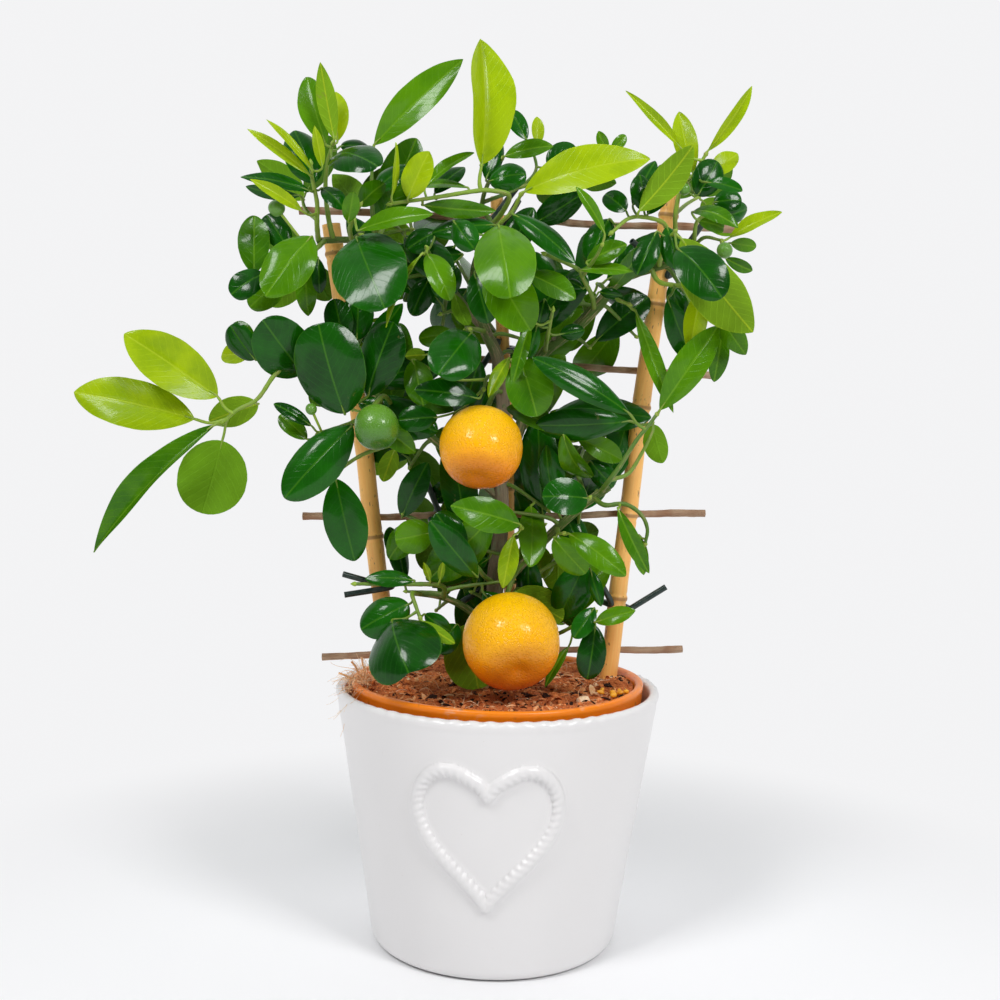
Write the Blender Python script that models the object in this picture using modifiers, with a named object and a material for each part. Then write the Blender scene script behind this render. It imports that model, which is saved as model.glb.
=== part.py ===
"""Potted mandarin tree on a bamboo trellis, in a nursery pot inside a ceramic pot.

Frame: metres, +Z up, the origin at the middle of the pot's foot, the front at -Y.
The crown is laid out in centimetres as (across, up, depth) on its front face and opens
evenly towards the back, see crown().
"""
import math

import bmesh
import bpy
from mathutils import Matrix, Vector
from mathutils.bvhtree import BVHTree

# ---------------------------------------------------------------- driving dimensions
GAP = 0.0003                 # clearance between neighbouring pieces
CERAMIC_HEIGHT = 0.168
CERAMIC_RIM_RADIUS = 0.106
CERAMIC_FOOT_RADIUS = 0.080
CERAMIC_WALL = 0.0065
CERAMIC_FLOOR = 0.008
FOOT_ROUND = 0.007
HEART_WIDTH = 0.0843
HEART_HEIGHT = 0.0867
HEART_MIDDLE = 0.094         # height of the heart's middle above the foot
HEART_ACROSS = -0.0043       # the heart sits a little left of the pot's middle
ROPE_RADIUS = 0.0042
NURSERY_STAND = 0.0043       # how far the nursery rim stands above the ceramic rim
NURSERY_RIM_ROOM = 0.0045     # clearance round the nursery pot at the ceramic pot's rim
NURSERY_FOOT_ROOM = 0.0055    # and at its floor
NURSERY_RIM_RADIUS = CERAMIC_RIM_RADIUS - CERAMIC_WALL - NURSERY_RIM_ROOM
NURSERY_FOOT_RADIUS = CERAMIC_FOOT_RADIUS - CERAMIC_WALL - NURSERY_FOOT_ROOM
NURSERY_WALL = 0.0014
NURSERY_LIP = 0.0034
MEDIUM_DROP = 0.010          # soil surface below the nursery rim
LAID_OUT_RIM = 0.1723        # nursery rim height that the plant's heights are laid out for
LIFT = CERAMIC_HEIGHT + NURSERY_STAND - LAID_OUT_RIM
CANE_RADIUS = 0.0063
MIDDLE_CANE_RADIUS = 0.0044
STICK_RADIUS = 0.0023
TIE_RADIUS = 0.0021
TRELLIS_DEPTH = 0.020        # the canes' plane behind the trunk
LEAF_THICKNESS = 0.0010
CROWN_FRONT = -5.0           # cm, depth of the crown's front face
CROWN_MIDDLE = 35.93         # cm, height that the crown opens about
CROWN_SPREAD = 0.01224       # opening for each cm of depth
UPPER_FRUIT_RADIUS = 0.0265
LOWER_FRUIT_RADIUS = 0.0312
GREEN_FRUIT_RADIUS = 0.0140

for old in list(bpy.data.objects):
    bpy.data.objects.remove(old)

PLANT = bpy.data.collections.new("potted_mandarin_tree")
CUTTERS = bpy.data.collections.new("cutters")
bpy.context.scene.collection.children.link(PLANT)
bpy.context.scene.collection.children.link(CUTTERS)


# ---------------------------------------------------------------- helpers
def crown(x, z, y):
    """A crown place, in cm on the front face and y deep, as a point in metres."""
    s = 1.0 + (y - CROWN_FRONT) * CROWN_SPREAD
    return Vector((x * s, y, CROWN_MIDDLE + (z - CROWN_MIDDLE) * s)) * 0.01 + Vector((0, 0, LIFT))


def material(name, colour, roughness, metallic=0.0):
    m = bpy.data.materials.new(name)
    m.use_nodes = True
    b = m.node_tree.nodes["Principled BSDF"]
    b.inputs["Base Color"].default_value = (*colour, 1.0)
    b.inputs["Roughness"].default_value = roughness
    b.inputs["Metallic"].default_value = metallic
    return m


def place(mesh, name, look, collection=PLANT):
    ob = bpy.data.objects.new(name, mesh)
    collection.objects.link(ob)
    if look is not None:
        mesh.materials.clear()
        mesh.materials.append(look)
    if collection is CUTTERS:
        ob.hide_render = True
        ob.display_type = "WIRE"
    return ob


def smooth(points, steps):
    """A Catmull-Rom run through the points, steps to each span; rows may carry a radius."""
    rows = [Vector(p) for p in points]
    if len(rows) < 3:
        return rows
    ends = [rows[0] * 2 - rows[1]] + rows + [rows[-1] * 2 - rows[-2]]
    out = []
    for i in range(1, len(ends) - 2):
        a, b, c, d = ends[i - 1:i + 3]
        for k in range(steps):
            t = k / steps
            out.append(0.5 * (2 * b + (c - a) * t + (2 * a - 5 * b + 4 * c - d) * t * t
                              + (3 * b - a - 3 * c + d) * t ** 3))
    out.append(rows[-1])
    return out


def tube(points, radii, name, look, collection=PLANT, resolution=0, cyclic=False):
    """A round bar along the points as a beveled curve, turned into a welded mesh."""
    data = bpy.data.curves.new(name, "CURVE")
    data.dimensions = "3D"
    data.bevel_depth = 0.001
    data.bevel_resolution = resolution
    data.use_fill_caps = not cyclic
    run = data.splines.new("POLY")
    run.points.add(len(points) - 1)
    run.use_cyclic_u = cyclic
    for spot, p, r in zip(run.points, points, radii):
        spot.co = (p[0], p[1], p[2], 1.0)
        spot.radius = r / 0.001
    ob = bpy.data.objects.new(name + "_run", data)
    bpy.context.scene.collection.objects.link(ob)
    graph = bpy.context.evaluated_depsgraph_get()
    mesh = bpy.data.meshes.new_from_object(ob.evaluated_get(graph))
    bpy.data.objects.remove(ob)
    bm = bmesh.new()
    bm.from_mesh(mesh)
    bmesh.ops.remove_doubles(bm, verts=bm.verts, dist=1e-6)
    bmesh.ops.recalc_face_normals(bm, faces=bm.faces)
    bm.to_mesh(mesh)
    bm.free()
    mesh.name = name
    return place(mesh, name, look, collection)


JOINS = []
CUTS = []


def union(ob, pieces):
    """Keeps the pieces to be joined to ob as one body once all the pieces are made."""
    JOINS.append((ob, pieces))


def cut(ob, cutter):
    """Keeps the cutter to be taken out of ob once all the pieces are made."""
    CUTS.append((ob, cutter))


def finish_solids():
    for ob, cutter in CUTS:
        mod = ob.modifiers.new("cut", "BOOLEAN")
        mod.operation = "DIFFERENCE"
        mod.solver = "EXACT"
        mod.object = cutter
    for ob, pieces in JOINS:
        group = bpy.data.collections.new(ob.name + "_pieces")
        CUTTERS.children.link(group)
        for piece in pieces:
            CUTTERS.objects.unlink(piece)
            group.objects.link(piece)
        mod = ob.modifiers.new("join", "BOOLEAN")
        mod.operation = "UNION"
        mod.solver = "EXACT"
        mod.operand_type = "COLLECTION"
        mod.collection = group
        mod.use_self = ob is ceramic


def turned(profile, name, look, steps=48, collection=PLANT):
    """A closed profile of (radius, height) turned about Z."""
    mesh = bpy.data.meshes.new(name)
    mesh.from_pydata([(r, 0.0, z) for r, z in profile],
                     [(i, i + 1) for i in range(len(profile) - 1)], [])
    ob = place(mesh, name, look, collection)
    mod = ob.modifiers.new("turn", "SCREW")
    mod.steps = steps
    mod.render_steps = steps
    mod.use_merge_vertices = True
    mod.merge_threshold = 0.00005
    mod.use_smooth_shade = True
    return ob


def solid(ob):
    """(vertices, faces) of a plain mesh object; every piece is modelled in place."""
    return [v.co.copy() for v in ob.data.vertices], [tuple(p.vertices) for p in ob.data.polygons]


OBSTACLES = []


def note(ob, owner):
    """Keeps the piece as something that a leaf has to lie clear of."""
    verts, faces = solid(ob)
    low = Vector([min(v[i] for v in verts) for i in range(3)])
    high = Vector([max(v[i] for v in verts) for i in range(3)])
    OBSTACLES.append((low, high, BVHTree.FromPolygons(verts, faces), owner))


def is_clear(verts, faces, owner):
    low = [min(v[i] for v in verts) for i in range(3)]
    high = [max(v[i] for v in verts) for i in range(3)]
    tree = None
    for a, b, other, other_owner in OBSTACLES:
        if other_owner == owner:
            continue
        if any(high[i] < a[i] or low[i] > b[i] for i in range(3)):
            continue
        if tree is None:
            tree = BVHTree.FromPolygons(verts, faces)
        if tree.overlap(other):
            return False
    return True


# ---------------------------------------------------------------- looks
GLAZE = material("white_glaze", (0.86, 0.85, 0.86), 0.35)
ORANGE = material("orange_plastic", (0.90, 0.25, 0.03), 0.45)
COIR = material("coir_and_bark", (0.14, 0.055, 0.03), 0.95)
GRANULE = material("granules", (0.85, 0.45, 0.05), 0.6)
BAMBOO = material("bamboo", (0.62, 0.36, 0.14), 0.5)
SPLIT = material("split_stick", (0.34, 0.19, 0.11), 0.8)
TIE = material("tie_plastic", (0.02, 0.045, 0.045), 0.45)
BARK = material("bark", (0.20, 0.17, 0.09), 0.85)
PEEL = material("ripe_peel", (0.95, 0.36, 0.01), 0.35)
GREEN_PEEL = material("green_peel", (0.09, 0.28, 0.01), 0.3)
LEAF = {
    "D": material("old_leaf", (0.01, 0.075, 0.012), 0.25),
    "M": material("grown_leaf", (0.04, 0.19, 0.012), 0.3),
    "L": material("young_leaf", (0.24, 0.42, 0.02), 0.4),
}

# ---------------------------------------------------------------- ceramic pot
slope = (CERAMIC_RIM_RADIUS - CERAMIC_FOOT_RADIUS) / CERAMIC_HEIGHT


def pot_radius(z):
    return CERAMIC_FOOT_RADIUS + slope * z


inner_foot = CERAMIC_FOOT_RADIUS - CERAMIC_WALL
half_lip = CERAMIC_WALL / 2
profile = [(0.0, CERAMIC_FLOOR), (inner_foot, CERAMIC_FLOOR),
           (pot_radius(CERAMIC_HEIGHT - half_lip) - CERAMIC_WALL, CERAMIC_HEIGHT - half_lip)]
for k in range(1, 4):
    a = math.pi * (1 - k / 4)
    profile.append((CERAMIC_RIM_RADIUS - half_lip + half_lip * math.cos(a),
                    CERAMIC_HEIGHT - half_lip + half_lip * math.sin(a)))
profile.append((pot_radius(CERAMIC_HEIGHT - half_lip), CERAMIC_HEIGHT - half_lip))
profile.append((pot_radius(FOOT_ROUND), FOOT_ROUND))
for k in range(1, 4):
    a = math.radians(90 * k / 3)
    profile.append((pot_radius(FOOT_ROUND) - FOOT_ROUND * (1 - math.cos(a)),
                    FOOT_ROUND * (1 - math.sin(a))))
profile.append((0.0, 0.0))
profile.reverse()
ceramic = turned(profile[::-1], "ceramic_pot", GLAZE, 40)


def heart(t):
    """The heart's outline, t from 0 to 1, about (0, 0) and 1 wide and 1 high."""
    a = 2 * math.pi * t
    x = math.sin(a) ** 3
    z = (13 * math.cos(a) - 5 * math.cos(2 * a) - 2 * math.cos(3 * a) - math.cos(4 * a)) / 29
    return x / 2, z + 0.09


rope = []
rope_radii = []
lobes = 44
for k in range(lobes):
    hx, hz = heart(k / lobes)
    x = HEART_ACROSS + hx * HEART_WIDTH
    z = HEART_MIDDLE + hz * HEART_HEIGHT
    r = pot_radius(z) + 0.0004
    rope.append((x, -math.sqrt(r * r - x * x), z))
    rope_radii.append(ROPE_RADIUS * (1.0 if k % 2 else 0.86))
rope_ob = tube(rope, rope_radii, "heart_rope", GLAZE, CUTTERS, 1, True)
union(ceramic, [rope_ob])

# ---------------------------------------------------------------- nursery pot
rim_z = CERAMIC_HEIGHT + NURSERY_STAND
foot_z = CERAMIC_FLOOR + GAP
side = (NURSERY_RIM_RADIUS - NURSERY_LIP - NURSERY_FOOT_RADIUS) / (rim_z - foot_z)


def nursery_radius(z):
    """Outer radius of the nursery pot's side below its lip."""
    return NURSERY_FOOT_RADIUS + side * (z - foot_z)


profile = [(0.0, foot_z + 0.0022), (NURSERY_FOOT_RADIUS - NURSERY_WALL, foot_z + 0.0022),
           (nursery_radius(rim_z) - NURSERY_WALL, rim_z - 0.0006),
           (nursery_radius(rim_z) - 0.0004, rim_z), (NURSERY_RIM_RADIUS - 0.0008, rim_z),
           (NURSERY_RIM_RADIUS, rim_z - 0.0010), (NURSERY_RIM_RADIUS, rim_z - 0.0120),
           (NURSERY_RIM_RADIUS - NURSERY_LIP, rim_z - 0.0135),
           (NURSERY_FOOT_RADIUS, foot_z), (0.0, foot_z)]
nursery = turned(profile, "nursery_pot", ORANGE, 36)
for k in range(6):
    a = math.radians(60 * k)
    bm = bmesh.new()
    bmesh.ops.create_cone(bm, cap_ends=True, segments=8, radius1=0.005, radius2=0.005, depth=0.02)
    bmesh.ops.translate(bm, verts=bm.verts, vec=(0.048 * math.cos(a), 0.048 * math.sin(a), foot_z))
    hole = bpy.data.meshes.new("drain")
    bm.to_mesh(hole)
    bm.free()
    cut(nursery, place(hole, f"drain_{k}", None, CUTTERS))

# ---------------------------------------------------------------- trellis
CANES = {
    "cane_left": ([(-0.0705, 0.160), (-0.082, 0.240), (-0.091, 0.313), (-0.116, 0.468)], CANE_RADIUS),
    "cane_middle": ([(0.0105, 0.160), (0.004, 0.300), (-0.001, 0.401), (-0.007, 0.488)],
                    MIDDLE_CANE_RADIUS),
    "cane_right": ([(0.0735, 0.160), (0.077, 0.195), (0.091, 0.344), (0.108, 0.495)], CANE_RADIUS),
}
CANE_FOOT = 0.128            # how deep the canes stand in the soil, height of their ends
CANE_LINES = {}
for name, (line, radius) in CANES.items():
    (x0, z0), (x1, z1) = line[0], line[1]
    lean = (x1 - x0) / (z1 - z0)
    points = [Vector((x0 - lean * (z0 - CANE_FOOT), TRELLIS_DEPTH, CANE_FOOT + LIFT))]
    points += [Vector((x, TRELLIS_DEPTH, z + LIFT)) for x, z in line]
    CANE_LINES[name] = points
    cane = tube(points, [radius] * len(points), name, BAMBOO, resolution=3)
    note(cane, name)
stick_y = TRELLIS_DEPTH + CANE_RADIUS + STICK_RADIUS + GAP
STICKS = {
    "cross_stick_1": ((-0.120, 0.1785), (0.1255, 0.1885)),
    "cross_stick_2": ((-0.134, 0.2735), (0.138, 0.2815)),
    "cross_stick_3": ((-0.112, 0.3860), (0.1435, 0.3735)),
    "cross_stick_4": ((-0.138, 0.4780), (0.1515, 0.4712)),
}
STICK_LINES = {}
for name, (a, b) in STICKS.items():
    ends = [Vector((x, stick_y, z + LIFT)) for x, z in (a, b)]
    STICK_LINES[name] = ends
    note(tube(ends, [STICK_RADIUS] * 2, name, SPLIT, resolution=1), name)

# ---------------------------------------------------------------- trunk and branches
# Rows of (across, up, depth, radius) in cm; the first row of a side branch lies in its parent.
BRANCHES = [
    [(-0.7, 12.0, 0.0, 0.62), (-0.6, 18.0, 0.0, 0.60), (-0.3, 23.5, 0.0, 0.56), (0.0, 28.0, 0.0, 0.52),
     (-0.1, 32.0, 0.0, 0.48), (0.0, 35.5, 0.0, 0.45), (-0.4, 38.1, -0.2, 0.42),
     (-1.4, 40.3, -0.4, 0.38), (-1.9, 43.2, -0.8, 0.30), (-0.9, 46.2, -1.0, 0.20)],
    [(0.0, 31.0, 0.0, 0.34), (1.1, 34.0, -0.2, 0.36), (1.4, 36.0, -0.3, 0.36), (2.3, 38.3, -0.5, 0.36),
     (4.35, 40.0, -0.6, 0.37), (5.6, 41.35, -0.6, 0.36), (7.05, 43.05, -0.6, 0.35),
     (9.0, 43.75, -0.8, 0.32), (10.5, 44.15, -1.0, 0.26)],
    [(-1.3, 39.8, -0.4, 0.24), (-3.6, 42.4, -0.6, 0.26), (-6.4, 44.3, -0.9, 0.25),
     (-9.0, 45.0, -1.3, 0.23), (-11.5, 44.95, -1.8, 0.19)],
    [(-0.1, 29.5, 0.0, 0.26), (-2.6, 31.6, -0.5, 0.28), (-5.4, 34.0, -1.0, 0.26),
     (-8.6, 36.1, -1.6, 0.24), (-12.3, 37.4, -2.4, 0.18)],
    [(-0.4, 21.2, 0.0, 0.24), (-2.0, 22.6, -1.0, 0.24), (-3.6, 23.3, -1.9, 0.21),
     (-5.3, 23.5, -2.6, 0.17)],
    [(-0.2, 23.8, 0.0, 0.26), (0.9, 24.9, -0.8, 0.27), (3.0, 27.2, -1.6, 0.27),
     (5.1, 29.2, -2.4, 0.26), (6.6, 30.3, -3.0, 0.24)],
]
BRANCH_LINES = []
for row in BRANCHES:
    BRANCH_LINES.append([Vector((*crown(*p[:3]), p[3] * 0.01)) for p in row])

trunk = None
side_branches = []
for i, line in enumerate(BRANCH_LINES):
    points = [Vector(r[:3]) for r in line]
    radii = [r[3] for r in line]
    if i == 0:
        trunk = tube(points, radii, "trunk_and_branches", BARK, resolution=2)
    else:
        side_branches.append(tube(points, radii, f"branch_{i}", BARK, CUTTERS, 1))
for piece in side_branches:
    note(piece, "trunk_and_branches")
note(trunk, "trunk_and_branches")
union(trunk, side_branches)

# ---------------------------------------------------------------- growing medium
top = rim_z - MEDIUM_DROP
steps = 4
profile = []
for k in range(steps + 1):
    r = (nursery_radius(top + 0.004) - NURSERY_WALL - GAP * 2) * k / steps
    heap = 0.0035 * (k / steps) ** 2 + 0.0012 * math.sin(5.0 * k)
    profile.append((r, top + heap))
floor = foot_z + 0.0022 + GAP
profile.append((nursery_radius(floor) - NURSERY_WALL - GAP * 2, floor))
profile.append((0.0, floor))
medium = turned(profile, "growing_medium", COIR, 32)
for name, points in CANE_LINES.items():
    radius = CANES[name][1] + GAP
    ends = [points[0] - Vector((0, 0, GAP))] + points[1:]
    cut(medium, tube(ends, [radius] * len(ends), name + "_way", None, CUTTERS, 3))
line = BRANCH_LINES[0][:5]
ends = [Vector(r[:3]) for r in line]
ends[0] = ends[0] - Vector((0, 0, GAP))
cut(medium, tube(ends, [r[3] + GAP * 1.5 for r in line], "trunk_way", None, CUTTERS, 3))

# ---------------------------------------------------------------- granules
GRANULE_SPOT = Vector((0.0725, -0.031, top + 0.0062))
granules = None
lumps = []
for k, (dx, dy, dz, r) in enumerate([(0, 0, 0, 0.0034), (0.0046, 0.001, 0.0004, 0.0030),
                                     (0.0022, -0.0038, 0.0002, 0.0028), (-0.0034, -0.0026, 0, 0.0026)]):
    bm = bmesh.new()
    bmesh.ops.create_icosphere(bm, subdivisions=1, radius=r)
    bmesh.ops.translate(bm, verts=bm.verts, vec=GRANULE_SPOT + Vector((dx, dy, dz + 0.001)))
    mesh = bpy.data.meshes.new("granule")
    bm.to_mesh(mesh)
    bm.free()
    if k == 0:
        granules = place(mesh, "fertiliser_granules", GRANULE)
    else:
        lumps.append(place(mesh, f"granule_{k}", GRANULE, CUTTERS))
union(granules, lumps)


# ---------------------------------------------------------------- leaves and shoots
RINGS = (0.22, 0.52, 0.82)
SMALL_RINGS = (0.3, 0.72)     # blades under SMALL_BLADE long
SMALL_BLADE = 0.021


def outline(u, ratio):
    """Half width at u along the blade, 1 at the widest; broad blades have rounder ends."""
    k = min(1.0, max(0.0, (ratio - 0.2) / 0.6))
    a = 0.95 - 0.45 * k
    b = 1.05 - 0.50 * k
    m = a / (a + b)
    return (u / m) ** a * ((1 - u) / (1 - m)) ** b


def blade(length, width, fold, arch, more=0.0, root=None):
    """One leaf along +X, its upper face to +Z, thicker and wider by more, with its leaf
    stalk from root when that is given; the rings run left, upper, right, lower."""
    stalk = 0 if root is None else 2
    rings = RINGS if length > SMALL_BLADE else SMALL_RINGS
    count = len(rings) + stalk
    bm = bmesh.new()
    bmesh.ops.create_uvsphere(bm, u_segments=4, v_segments=count + 1, radius=1.0)
    quads = [f for f in bm.faces if len(f.verts) == 4]
    upper = [f for f in quads if f.calc_center_median().y > 0]
    lower = [f for f in quads if f.calc_center_median().y < 0]
    bmesh.ops.triangulate(bm, faces=upper, quad_method="FIXED")
    bmesh.ops.triangulate(bm, faces=lower, quad_method="ALTERNATE")
    heights = sorted({round(v.co.z, 4) for v in bm.verts}, reverse=True)
    if root is not None:
        lead = -root.normalized()
        lift = (Vector((0, 0, 1)) - lead * lead.z).normalized()
        hand_side = lift.cross(lead)
    for v in bm.verts:
        i = heights.index(round(v.co.z, 4))
        middle = abs(v.co.y) > 0.3 * math.hypot(v.co.x, v.co.y)
        up = 1.0 if v.co.y > 0 else -1.0
        hand = 1.0 if v.co.x > 0 else -1.0
        if i == 0:
            v.co = (-0.0015 - more, 0.0, 0.0) if root is None else root - lead * 0.0004
        elif i == count + 1:
            v.co = (length + more, 0.0, 0.0)
        elif i <= stalk:
            spot = root if i == 1 else Vector((0, 0, 0))
            side = lift * (up * 0.0008) if middle else hand_side * (hand * 0.0008)
            v.co = spot + side
        else:
            u = rings[i - stalk - 1]
            rise = arch * length * 4 * u * (1 - u)
            if middle:
                v.co = (length * u, 0.0, rise + up * (LEAF_THICKNESS / 2 + more))
            else:
                reach = 0.5 * width * outline(u, width / length) * (1.0 if hand > 0 else 0.96) + more
                v.co = (length * u, hand * reach * math.cos(fold), rise + reach * math.sin(fold))
    bmesh.ops.recalc_face_normals(bm, faces=bm.faces)
    mesh = bpy.data.meshes.new("blade")
    bm.to_mesh(mesh)
    bm.free()
    return mesh


def lie(base, tip, roll):
    """The leaf's rotation: +X to the tip, +Z to the front, turned by roll about the tip line."""
    along = (tip - base).normalized()
    front = Vector((0, -1, 0)) if abs(along.y) < 0.93 else Vector((0, 0, 1))
    face = (front - along * front.dot(along)).normalized()
    face = Matrix.Rotation(math.radians(roll), 3, along) @ face
    left = face.cross(along)
    return Matrix((along, left, face)).transposed()


SWINGS = (0, 7, -7, 14, -14, 21, -21, 28, -28, 36, -36, 45, -45, 55, -55)
TURNS = (0, 18, -18, 36, -36, 55, -55)
LEFT_OUT = []


def settle(base, tip, width, roll, fold, arch, owner, root):
    """The leaf at base, swung in depth and turned until it lies clear; mesh and placement."""
    fold = math.radians(fold)
    along = (tip - base).normalized()
    hinge = along.cross(Vector((0, 1, 0)))
    hinge = hinge.normalized() if hinge.length > 0.2 else Vector((1, 0, 0))
    for size in (1.0, 0.8, 0.62):
        length = (tip - base).length * size
        fat = blade(length, width * size, fold, arch, 0.00045)
        faces = [tuple(p.vertices) for p in fat.polygons]
        for turn in TURNS:
            for swing in SWINGS:
                spin = Matrix.Rotation(math.radians(swing), 3, hinge)
                stand = spin @ lie(base, tip, roll + turn)
                verts = [stand @ v.co + base for v in fat.vertices]
                if is_clear(verts, faces, owner):
                    near = None if root is None else stand.transposed() @ (root - base)
                    if near is not None and (near.length < 0.004 or -near.x < 0.6 * near.length):
                        near = None
                    return blade(length, width * size, fold, arch, 0.0, near), stand, near is None
    LEFT_OUT.append((owner, tuple(base)))
    return None, None, False


def nearest(line, spot):
    """The point, tangent and row of the line nearest to the spot."""
    best = None
    for i in range(len(line) - 1):
        a, b = Vector(line[i][:3]), Vector(line[i + 1][:3])
        t = min(1.0, max(0.0, (spot - a).dot(b - a) / (b - a).length_squared))
        p = a + (b - a) * t
        d = (p - spot).length
        if best is None or d < best[0]:
            best = (d, p, (b - a).normalized(), i, t)
    return best


def seat(start, second):
    """Two points that lead a stem straight off the bark nearest to start, with the gap."""
    found = min((nearest(line, start) + (line,) for line in BRANCH_LINES), key=lambda f: f[0])
    _, p, tangent, i, t, line = found
    radius = line[i][3] * (1 - t) + line[i + 1][3] * t
    away = second - p
    away = (away - tangent * away.dot(tangent)).normalized()
    return [p + away * (radius + GAP * 1.6), p + away * (radius + 0.0035)]


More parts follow.
